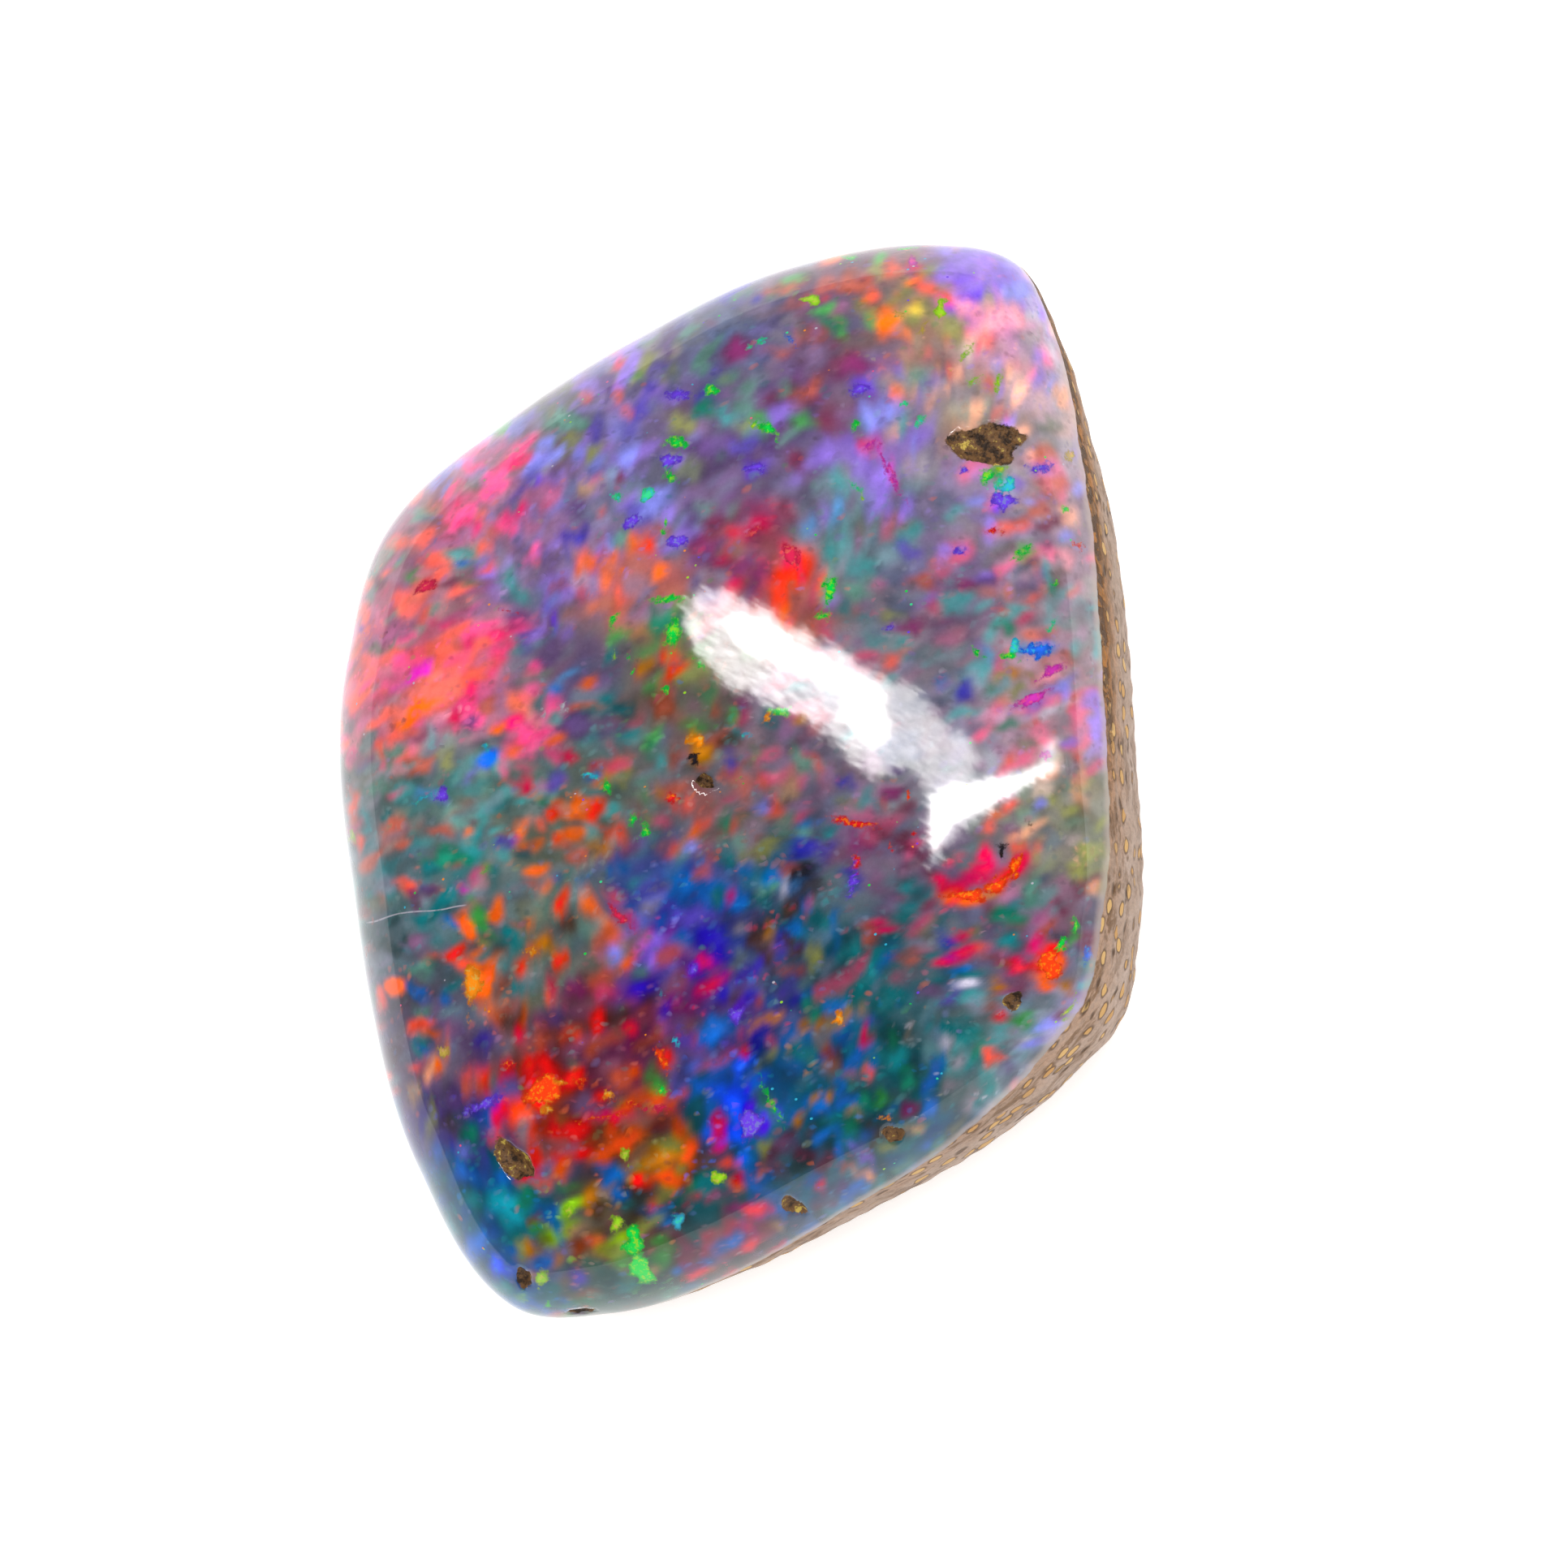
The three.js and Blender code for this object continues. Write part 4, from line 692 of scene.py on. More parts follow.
# Crisp flashes near the skin, in the same terms. The two pearl flashes are painted highlights: small white
# glints painted into the colour
FLASHES = {
    "ink": [(4.45, -1.35, 0.25, 0.17, 90), (5.0, -0.78, 0.2, 0.12, -30), (-1.85, 0.5, 0.3, 0.2, 0)],
    "crimson": [
        (-5.7, 3.55, 0.3, 0.1, -20), (0.15, 4.7, 0.6, 0.25, -50), (-0.6, 5.2, 0.3, 0.15, 20),
        (-3.35, -2.75, 0.7, 0.2, -50), (-7.35, 4.05, 0.35, 0.2, 30), (-2.6, -6.7, 0.7, 0.15, 5),
    ],
    "magenta": [
        (2.2, 6.35, 1.2, 0.12, -61), (1.75, 6.95, 0.4, 0.15, 0), (2.65, 10.7, 0.3, 0.2, 0),
        (5.5, 2.3, 0.6, 0.15, 25), (5.1, 1.75, 0.7, 0.2, 30), (5.35, 0.6, 0.2, 0.15, 0),
    ],
    "violet": [
        (-2.2, 8.0, 0.5, 0.2, 10), (-2.35, 6.65, 0.4, 0.3, 0), (-2.2, 4.98, 0.35, 0.3, 0),
        (1.55, 8.1, 0.5, 0.25, 0), (3.7, 6.45, 0.2, 0.2, 0), (4.5, 5.8, 0.5, 0.35, 0),
        (-0.6, 6.5, 0.4, 0.25, 0), (2.1, 3.2, 0.3, 0.1, 10), (3.6, 4.8, 0.3, 0.15, 0),
        (5.25, 6.5, 0.5, 0.15, 15), (-7.05, -0.25, 0.35, 0.2, 20), (-1.85, -3.8, 0.25, 0.2, 0),
        (-1.0, -4.75, 0.4, 0.25, 60), (-0.7, -7.0, 0.6, 0.5, -60), (-6.2, -6.6, 0.9, 0.2, 30),
        (-3.1, 5.4, 0.4, 0.3, 40), (1.4, -2.0, 0.7, 0.2, 75),
    ],
    "blue": [(0.15, 9.1, 0.35, 0.08, -45), (5.2, 2.75, 0.7, 0.25, 10), (6.2, -3.5, 0.4, 0.15, 90)],
    "cyan": [
        (4.6, 6.15, 0.3, 0.3, 0), (4.75, 2.8, 0.3, 0.25, 90), (-6.15, 0.75, 0.15, 0.15, 0),
        (-7.4, -0.3, 0.4, 0.12, 35), (-4.0, 0.15, 0.35, 0.15, 0), (-0.75, 0.98, 0.1, 0.1, 0),
        (-2.2, -5.3, 0.2, 0.2, 0), (-2.2, -9.0, 0.35, 0.2, 85), (-2.5, -4.3, 0.15, 0.15, 0),
    ],
    "red": [
        (1.4, -0.8, 0.85, 0.2, -10), (2.18, -1.32, 0.15, 0.15, 0), (2.65, -1.03, 0.15, 0.15, 0),
        (-5.65, -5.8, 0.25, 0.2, 0), (-3.2, -6.55, 0.5, 0.1, 0), (4.45, -4.7, 0.2, 0.15, 90),
        (6.05, 4.9, 0.2, 0.15, 0), (4.3, 5.2, 0.3, 0.1, 10), (-2.3, -0.3, 0.3, 0.25, -50),
        (1.5, -1.6, 0.3, 0.15, 90),
    ],
    "scarlet": [
        (3.75, -2.3, 0.8, 0.28, 0), (4.35, -2.1, 0.6, 0.28, 40), (4.75, -1.7, 0.5, 0.25, 60),
        (-4.95, -6.3, 0.7, 0.6, 60), (-4.2, -6.1, 0.3, 0.15, 0), (5.45, -3.7, 0.6, 0.5, 70),
        (2.55, -0.22, 0.15, 0.15, 0), (-2.5, -5.65, 0.5, 0.25, -65), (-3.7, -6.85, 0.9, 0.12, 10),
    ],
    "tangerine": [
        (-6.4, -4.1, 0.8, 0.35, 80), (-6.15, -4.6, 0.15, 0.15, 0), (-6.45, -4.85, 0.12, 0.12, 0),
        (-5.2, -3.45, 0.25, 0.15, 0), (1.1, -4.83, 0.3, 0.25, 0), (-3.6, -6.4, 0.25, 0.2, 0),
        (-1.8, 0.9, 0.35, 0.3, 0), (-0.35, 1.35, 0.25, 0.12, 45), (2.05, -6.85, 0.3, 0.12, 0),
        (-4.6, -6.15, 0.25, 0.15, 30), (-4.9, -6.7, 0.3, 0.15, 20),
    ],
    "gold": [
        (2.35, 9.65, 0.25, 0.12, 0), (2.85, 9.35, 0.25, 0.1, 60), (5.85, 6.75, 0.2, 0.2, 0),
        (-7.0, -5.5, 0.25, 0.2, 0),
    ],
    "lime": [
        (3.2, 9.75, 0.45, 0.25, 90), (0.55, 9.95, 0.3, 0.3, 0), (-0.6, 7.35, 0.25, 0.15, -40),
        (3.7, 8.8, 0.6, 0.1, 42), (3.9, 8.3, 0.3, 0.1, 30), (4.4, 8.25, 0.4, 0.12, 80),
        (4.45, 6.45, 0.2, 0.2, 0), (1.53, 5.85, 0.12, 0.12, 0), (-3.5, 2.65, 0.12, 0.12, 0),
        (-8.88, -1.1, 0.25, 0.1, 85), (-4.98, -10.15, 0.4, 0.18, 85), (-4.4, -8.8, 0.25, 0.2, 0),
        (-3.45, -9.05, 0.4, 0.25, 85), (-3.25, -7.65, 0.3, 0.15, 85), (-1.35, -8.1, 0.3, 0.25, 80),
        (5.8, -4.7, 0.6, 0.12, 58),
    ],
    "mint": [
        (-2.8, 5.95, 0.3, 0.3, 0), (-3.45, 5.9, 0.25, 0.15, 0), (2.8, 7.5, 0.3, 0.2, 40),
        (2.45, 7.8, 0.15, 0.15, 0), (4.4, 6.2, 0.35, 0.12, 80), (1.45, 6.15, 0.4, 0.1, -35),
        (5.5, 3.25, 0.35, 0.1, 40), (-0.45, 9.1, 0.12, 0.12, 0), (-0.7, 8.95, 0.12, 0.12, 0),
    ],
    "green": [
        (-1.5, 8.1, 0.2, 0.2, 0), (-2.2, 7.0, 0.5, 0.2, 0), (-2.35, 6.3, 0.35, 0.15, -50),
        (-2.45, 5.3, 0.3, 0.12, 80), (-2.4, 3.8, 0.7, 0.2, 5), (-3.5, 3.35, 0.4, 0.1, 60),
        (-2.3, 3.1, 0.6, 0.25, 80), (-1.75, 2.5, 0.35, 0.15, -40), (0.92, 4.0, 0.6, 0.25, 88),
        (0.8, 3.45, 0.35, 0.15, 0), (4.9, 4.75, 0.5, 0.15, 25), (4.15, 6.3, 0.4, 0.2, 50),
        (5.55, 4.15, 0.15, 0.15, 0), (5.75, 5.65, 0.15, 0.15, 0), (-0.1, 1.5, 0.4, 0.2, 0),
        (-0.9, 0.08, 0.1, 0.1, 0), (-3.65, -0.05, 0.3, 0.15, 80), (-2.85, -1.0, 0.3, 0.2, 90),
        (-3.1, -0.75, 0.3, 0.2, 0), (-6.15, -1.75, 0.15, 0.15, 0), (5.7, -3.3, 0.2, 0.2, 0),
        (5.95, -2.9, 0.3, 0.15, 90), (-2.5, -6.3, 0.25, 0.2, 0), (-3.1, -9.4, 0.6, 0.4, 80),
        (-2.95, -9.95, 0.6, 0.5, 90), (-4.83, -10.7, 0.12, 0.12, 0), (-0.3, -6.5, 0.7, 0.12, -65),
        (4.65, 2.6, 0.35, 0.2, 10), (3.95, 2.7, 0.3, 0.12, -50), (-0.35, 7.3, 0.5, 0.2, -40),
        (1.5, 7.35, 0.2, 0.2, 0), (-2.45, 1.95, 0.15, 0.15, 0), (-3.2, 2.6, 0.12, 0.12, 0),
        (-3.1, 2.3, 0.12, 0.12, 0), (1.35, 10.85, 0.3, 0.12, 0), (2.5, 11.0, 0.4, 0.12, 0),
    ],
    # Painted highlight: these pearl flashes are white glints painted into the opal's colour
    "pearl": [(-4.55, 1.55, 0.2, 0.12, 70), (-4.95, 1.45, 0.2, 0.1, 80)],
}


# Numbers as colours

def linear(name):
    """The colour's light, from its look on a screen by the usual curve, under this scene's lights."""
    share = np.array(COLOURS[name]) / 255
    light = np.where(share <= 0.04045, share / 12.92, ((share + 0.055) / 1.055) ** 2.4)
    return light / LIGHT_LEVEL


def paint(name):
    """The colour as a shader's socket takes it."""
    return (*linear(name), 1)


def grey(value):
    return (value, value, value, 1)


# The stone's surface, worked out with numpy

def outline_distance(angle):
    """Distance from the middle to the widest line: the smooth cubic through the outline's points,
    whose slope at each point is that of the line between the points beside it."""
    turned = np.radians([degrees for degrees, distance in OUTLINE])
    distances = np.array([distance for degrees, distance in OUTLINE])
    turned = np.concatenate([turned - 2 * np.pi, turned, turned + 2 * np.pi])
    distances = np.tile(distances, 3)
    slopes = np.zeros_like(distances)
    slopes[1:-1] = (distances[2:] - distances[:-2]) / (turned[2:] - turned[:-2])
    angle = np.mod(angle, 2 * np.pi)
    index = np.searchsorted(turned, angle, side="right") - 1
    step = turned[index + 1] - turned[index]
    share = (angle - turned[index]) / step
    square = share ** 2
    cube = share ** 3
    return (
        (2 * cube - 3 * square + 1) * distances[index]
        + (cube - 2 * square + share) * step * slopes[index]
        + (3 * square - 2 * cube) * distances[index + 1]
        + (cube - square) * step * slopes[index + 1]
    )


def dome_height(x, y):
    """Height of the face above the widest line: two round bows less than the full height, and the
    slight waves of hand polishing."""
    waves = np.sin(0.42 * x + 0.9) * np.cos(0.31 * y - 0.4) + np.sin(0.27 * y + 0.23 * x + 2) - 1
    bow = x ** 2 / (2 * ROUND_ACROSS) + y ** 2 / (2 * ROUND_ALONG)
    return HEIGHT - GIRDLE_HEIGHT - bow + WAVE * waves


def shoulder_power(angle):
    """Exponent of the shoulder's curve: high, so tight, on the side where the rock shows."""
    return SHOULDER_MIDDLE + SHOULDER_SWING * np.cos(angle - ROCK_SIDE)


def face_points(share, angle):
    """Points of the face at a share of the way to the widest line: the dome's height times the
    superellipse's fall, the root of one less the share to the shoulder's power."""
    distance = share * outline_distance(angle)
    x = MIDDLE[0] + distance * np.cos(angle)
    y = MIDDLE[1] + distance * np.sin(angle)
    fall = np.sqrt(np.clip(1 - share ** shoulder_power(angle), 0, 1))
    return np.stack([x, y, GIRDLE_HEIGHT + dome_height(x, y) * fall], -1)


def wall_points(share, angle):
    """Points of the wall at a share of the way down to the back: the widest line drawn in by a
    power of the share."""
    distance = outline_distance(angle) * (1 - BACK_INSET * share ** WALL_BOW)
    x = MIDDLE[0] + distance * np.cos(angle)
    y = MIDDLE[1] + distance * np.sin(angle)
    z = GIRDLE_HEIGHT * (1 - share) * np.ones_like(angle)
    return np.stack([x, y, z], -1)


def ring_share(ring, angle):
    """Share of the way to the widest line of a ring of the face: even steps up to the shoulder,
    then steps of growing turn round the superellipse."""
    power = shoulder_power(angle)
    first = np.arcsin(SHOULDER_START ** (power / 2))
    way = np.clip((ring - FACE_RINGS) / (HALF_GRID - FACE_RINGS), 0, 1)
    turn = first + (np.pi / 2 - first) * (0.4 * way + 0.6 * way ** 2)
    shoulder = np.sin(np.clip(turn, 0, np.pi / 2)) ** (2 / power)
    return np.where(ring <= FACE_RINGS, SHOULDER_START * ring / FACE_RINGS, shoulder)


def grid_on_disc():
    """A square grid wrapped onto a disc: squares become rings, and places along a square's sides
    become even steps of angle. Gives each grid point's ring and angle."""
    side = np.arange(-HALF_GRID, HALF_GRID + 1)
    across, along = np.meshgrid(side, side, indexing="xy")
    ring = np.maximum(np.abs(across), np.abs(along))
    safe = np.maximum(ring, 1)
    eighth = np.pi / 4
    sides = [across == ring, along == ring, across == -ring]
    angles = [
        eighth * along / safe,
        2 * eighth - eighth * across / safe,
        4 * eighth - eighth * along / safe,
    ]
    return ring, np.select(sides, angles, 6 * eighth + eighth * across / safe)


def rim_order():
    """Numbers of the grid's outermost points, in the order of their angle."""
    size = 2 * HALF_GRID + 1
    number = np.arange(size * size).reshape(size, size)
    return np.concatenate([number[:-1, -1], number[-1, :0:-1], number[:0:-1, 0], number[0, :-1]])


def stone_surface():
    """The whole skin: the face on its wrapped grid, then rings down the wall and in over the back
    to one middle point. Gives points, four-cornered and three-cornered faces."""
    ring, angle = grid_on_disc()
    face = face_points(ring_share(ring, angle), angle)
    size = face.shape[0]
    number = np.arange(size * size).reshape(size, size)
    corners = [number[:-1, :-1], number[:-1, 1:], number[1:, 1:], number[1:, :-1]]
    quads = [np.stack(corners, -1).reshape(-1, 4)]

    rim = rim_order()
    rim_angle = angle.reshape(-1)[rim]
    points = [face.reshape(-1, 3)]
    rings = []
    for step in range(1, WALL_RINGS + 1):
        rings.append(wall_points(step / WALL_RINGS, rim_angle))
    back_rim = rings[-1]
    middle = np.array([MIDDLE[0], MIDDLE[1], 0.0])
    for step in range(1, BACK_RINGS + 1):
        rings.append(middle + (back_rim - middle) * (1 - step / (BACK_RINGS + 1)))

    above = rim
    start = size * size
    for points_of_ring in rings:
        below = np.arange(start, start + len(rim))
        quads.append(np.stack([above, below, np.roll(below, -1), np.roll(above, -1)], -1))
        points.append(points_of_ring)
        above = below
        start += len(rim)
    points.append(middle[None])
    hub = np.full(len(rim), start)
    triangles = np.stack([above, hub, np.roll(above, -1)], -1)
    return np.concatenate(points), np.concatenate(quads), triangles


def normals_of(points, quads):
    """Direction square to the skin at each point: the sum of the crossed diagonals of its faces."""
    corners = points[quads]
    crossed = np.cross(corners[:, 2] - corners[:, 0], corners[:, 3] - corners[:, 1])
    total = np.zeros_like(points)
    for corner in range(4):
        np.add.at(total, quads[:, corner], crossed)
    length = np.linalg.norm(total, axis=1, keepdims=True)
    return total / np.maximum(length, 1e-12)


# The view, which is also how the markings are placed

def view_axes():
    """The view's right, up and backward directions, from how far it tilts and where to."""
    back = np.array([
        math.sin(TILT) * math.cos(TURN),
        math.sin(TILT) * math.sin(TURN),
        math.cos(TILT),
    ])
    up = np.array([0.0, 1.0, 0.0]) - back[1] * back
    up /= np.linalg.norm(up)
    return np.cross(up, back), up, back


def camera_place():
    """The point from which the frame is FIELD wide at the aim point."""
    return AIM + view_axes()[2] * FIELD / SENSOR * LENS


def seen(points):
    """How far across and up the view each point looks, in millimetres at the aim point."""
    right, up, back = view_axes()
    from_camera = points - camera_place()
    depth = -(from_camera @ back)
    scale = FIELD / SENSOR * LENS / depth
    return (from_camera @ right) * scale, (from_camera @ up) * scale


def make_camera():
    right, up, back = view_axes()
    lens = bpy.data.cameras.new("view")
    lens.lens = LENS
    lens.sensor_width = SENSOR
    lens.clip_start = 0.01
    lens.clip_end = 20
    camera = bpy.data.objects.new("view", lens)
    place = Matrix(np.column_stack([right, up, back]).tolist()).to_4x4()
    place.translation = (camera_place() * MM).tolist()
    camera.matrix_world = place
    bpy.context.scene.collection.objects.link(camera)
    bpy.context.scene.camera = camera


# Markings on the points of the stone

def ripple(across, up, wavelength, seed):
    """A smooth wander from about -1 to 1: eight sine waves in random directions, averaged."""
    draw = np.random.default_rng(seed)
    total = np.zeros_like(across)
    for turn, phase, stretch in draw.uniform(size=(8, 3)):
        length = wavelength * (0.7 + 0.7 * stretch)
        way = across * math.cos(2 * np.pi * turn) + up * math.sin(2 * np.pi * turn)
        total += np.sin(2 * np.pi * (way / length + phase))
    return total / 3


def zone_weights(across, up):
    """How much each zone counts at each point: a bell curve of the distance from its middle, as a
    share of all the zones' curves."""
    weights = []
    for zone in ZONES:
        distance = np.hypot(across - zone[0], up - zone[1]) / zone[2]
        weights.append(np.exp(-1.6 * distance ** 2) + 1e-9)
    weights = np.stack(weights, -1)
    return weights / weights.sum(-1, keepdims=True)


def chances(cells, seed):
    """Four random numbers from 0 to 1 for each cell of a grid, from a table that the cell's
    numbers, times large primes, point into."""
    table = np.random.default_rng(seed).uniform(size=(8192, 4))
    mixed = cells[:, 0] * 73856093 ^ cells[:, 1] * 19349663 ^ cells[:, 2] * 83492791
    return table[np.mod(mixed, len(table))]


def flake_cells(points, turn, long, wide, seed):
    """The flake that each point lies in: the nearest of random middles, one in each box of a grid
    stretched along turn in the plane of the view. Gives the middles, their distance as a share of
    the flake's size, and chances."""
    right, up, back = view_axes()
    cosine = math.cos(math.radians(turn))
    sine = math.sin(math.radians(turn))
    axes = np.array([cosine * right + sine * up, cosine * up - sine * right, back])
    size = np.array([long, wide, FLAKE_DEPTH])
    turned = points @ axes.T / size
    home = np.floor(turned).astype(np.int64)
    nearest = np.full(len(points), np.inf)
    middle = np.zeros_like(points)
    chosen = np.zeros_like(home)
    steps = np.stack(np.meshgrid([-1, 0, 1], [-1, 0, 1], [-1, 0, 1]), -1).reshape(-1, 3)
    for step in steps:
        cell = home + step
        place = cell + chances(cell, seed)[:, :3]
        distance = np.linalg.norm(turned - place, axis=1)
        nearer = distance < nearest
        nearest[nearer] = distance[nearer]
        middle[nearer] = place[nearer]
        chosen[nearer] = cell[nearer]
    return (middle * size) @ axes, nearest, chances(chosen, seed + 1000)


def smooth_step(value, low, high):
    """0 below low, 1 above high, and the cubic 3 s squared less 2 s cubed between."""
    share = np.clip((value - low) / (high - low), 0, 1)
    return share * share * (3 - 2 * share)


def blend(share, low, high):
    return low + (high - low) * share[:, None]


def tone_of_flakes(points, wander):
    """The opal's colour from its layers of flakes. Each flake takes a zone by chance, weighted by
    how near the zone is: most have a dull colour near the zone's body, and some a vivid one. It
    fades from its middle. Gives the colour, how milky and how vivid the opal is, and a colour for
    the finer flakes."""
    bodies, flakes, seconds = [np.array([linear(zone[column]) for zone in ZONES]) for column in (3, 4, 5)]
    dulls = np.array([linear(name) for name in DULLS])
    play = np.array([zone[6] for zone in ZONES])
    milk = np.array([zone[7] for zone in ZONES])
    weights = zone_weights(*seen(points + wander))
    colour = weights @ bodies
    for index, (turn, long, wide, reach, soft, share, strength, vivid) in enumerate(FLAKES):
        middle, distance, chance = flake_cells(points + wander, turn, long, wide, 20 + index)
        zone = np.argmax(np.cumsum(zone_weights(*seen(middle)), -1) > chance[:, :1] * 0.9999, -1)
        again = np.mod(chance * 17, 1)
        bright = np.where(again[:, :1] < 0.6, flakes[zone], seconds[zone]) * (0.75 + 0.6 * chance[:, 3:])
        dull = dulls[(again[:, 1] * len(dulls)).astype(int)]
        dull = (0.35 * bodies[zone] + 0.45 * dull + 0.2 * flakes[zone]) * (0.45 + 1.2 * chance[:, 3:])
        lit = chance[:, 1] < vivid * play[zone] * 1.5
        tint = np.where(lit[:, None], bright, dull)
        cover = (chance[:, 2] < share) * (1 - smooth_step(distance, reach - soft, reach + soft))
        colour = blend(cover * strength * np.where(lit, 1, 0.75), colour, tint)
    return colour, weights @ milk, tint, weights @ play


def softened(values, quads):
    """Each point's values averaged with those round it: the mean of its faces' means."""
    means = values[quads].mean(1)
    total = np.zeros_like(values)
    count = np.zeros(len(values))
    for corner in range(4):
        np.add.at(total, quads[:, corner], means)
        np.add.at(count, quads[:, corner], 1)
    return total / np.maximum(count, 1)[:, None]


def marking_at(across, up, markings, seed):
    """Number of the marking at each point, and the distance in from its edge in millimetres, less
    than 0 outside it. A later marking covers an earlier one. Each is an oval whose rim wanders by
    three sine waves of its own."""
    draw = np.random.default_rng(seed)
    inside = np.full(len(across), -1.0)
    number = np.zeros(len(across), int)
    for count, (middle_across, middle_up, long, wide, turn) in enumerate(markings):
        phases = draw.uniform(0, 2 * np.pi, 3)
        near = np.hypot(across - middle_across, up - middle_up) < long + 0.4
        offset = across[near] - middle_across
        rise = up[near] - middle_up
        cosine = math.cos(math.radians(turn))
        sine = math.sin(math.radians(turn))
        along = (offset * cosine + rise * sine) / (long / 2)
        beside = (rise * cosine - offset * sine) / (wide / 2)
        angle = np.arctan2(beside, along)
        rim = 1 + 0.16 * np.sin(2 * angle + phases[0]) + 0.16 * np.sin(3 * angle + phases[1])
        rim += 0.08 * np.sin(5 * angle + phases[2])
        depth = (1 - np.hypot(along, beside) / rim) * min(long, wide) / 2
        before = inside[near]
        chosen = (depth > 0) | (depth > before)
        number[near] = np.where(chosen, count, number[near])
        inside[near] = np.maximum(before, depth)
    return number, inside


def line_distance(across, up, line):
    """Distance to the nearest of the straight stretches between a line's points."""
    least = np.full(across.shape, np.inf)
    for (ax, ay), (bx, by) in zip(line, line[1:]):
        length = (bx - ax) ** 2 + (by - ay) ** 2
        share = np.clip(((across - ax) * (bx - ax) + (up - ay) * (by - ay)) / length, 0, 1)
        distance = np.hypot(across - ax - share * (bx - ax), up - ay - share * (by - ay))
        least = np.minimum(least, distance)
    return least


def depth_of_colour(across, up):
    """Share of light that the opal gives back: most at its milky upper end, then at its left."""
    top = smooth_step(up, 1.5, 7.0)
    left = smooth_step(-across, 3.5, 6.5) * smooth_step(up, -6.0, -1.0)
    right = smooth_step(across, 2.5, 4.5) * smooth_step(up, -6.0, -2.0)
    return 0.82 + 0.42 * top + (0.34 * left + 0.18 * right) * (1 - top)


def deepened(colours, up):
    """Colours moved away from the grey of their own light, and their light moved away from its
    mean, both more strongly low on the stone."""
    light = np.maximum(colours.mean(1), 0.001)[:, None]
    low = 1 - smooth_step(up, -5.0, 2.0)[:, None]
    contrast = 0.2 + 0.4 * low
    vividness = 1.12 + 0.26 * low
    strong = light * (light / MEAN_LIGHT) ** contrast
    return np.maximum(strong + (colours - light) * strong / light * vividness, 0.002)


def along_rim(points):
    """Places on the stone as a length along its rim, a distance from its middle and a height."""
    x = points[:, 0] - MIDDLE[0]
    y = points[:, 1] - MIDDLE[1]
    return np.column_stack([RIM_REACH * np.arctan2(y, x), np.hypot(x, y), points[:, 2]])


def rock_wear(points):
    """How far the host rock's skin lies under the smooth wall: waves along the rim, deepest well
    below the opal."""
    rim = along_rim(points)
    contact = CONTACT_HEIGHT + CONTACT_ALONG_X * points[:, 0] + CONTACT_ALONG_Y * points[:, 1]
    share = smooth_step(np.maximum(contact, CONTACT_LEAST) - points[:, 2], 0.0, 0.5)
    waves = ripple(rim[:, 0], rim[:, 2], 1.0, 31) + 0.7 * ripple(rim[:, 0], rim[:, 2], 0.5, 32)
    return ROCK_WEAR * share * np.clip(0.5 + 0.35 * waves, 0, 1.2)


def hollow_depths(points):
    """How deep each point sinks, and how far inside a hollow it is from 0 to 1: half an oval bowl
    whose rim wanders by two sine waves."""
    depth = np.zeros(len(points))
    mask = np.zeros(len(points))
    upper = points[:, 2] > GIRDLE_HEIGHT
    for x, y, long, wide, turn, deep in HOLLOWS:
        offset = points[:, 0] - x
        rise = points[:, 1] - y
        cosine = math.cos(math.radians(turn))
        sine = math.sin(math.radians(turn))
        along = (offset * cosine + rise * sine) / (long / 2)
        beside = (rise * cosine - offset * sine) / (wide / 2)
        level = np.hypot(along, beside)
        round_angle = np.arctan2(beside, along)
        lump = np.sin(3 * round_angle + 5 * x) + 0.6 * np.sin(5 * round_angle - 4 * y)
        level = level / (1 + HOLLOW_LUMP * lump)
        bowl = np.where(upper, np.clip(1 - level ** 2, 0, 1), 0)
        depth = np.maximum(depth, deep * np.sqrt(bowl))
        mask = np.maximum(mask, np.where(upper, np.clip(1.6 - level, 0, 1.6), 0))
    offsets = (points - np.array(RIM_HOLLOW)) / (np.array(RIM_HOLLOW_SIZE) / 2)
    level = np.linalg.norm(offsets, axis=1)
    depth = np.maximum(depth, 0.14 * np.sqrt(np.clip(1 - level ** 2, 0, 1)))
    mask = np.maximum(mask, np.clip(1.6 - level, 0, 1.6))
    return depth, mask


def fit_to_box(points):
    """Points scaled along each axis so that their box is exactly the CAD node's."""
    low, high = [np.array(corner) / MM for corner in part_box("opal_stone")]
    least = points.min(0)
    span = points.max(0) - least
    return low + (points - least) / span * (high - low)


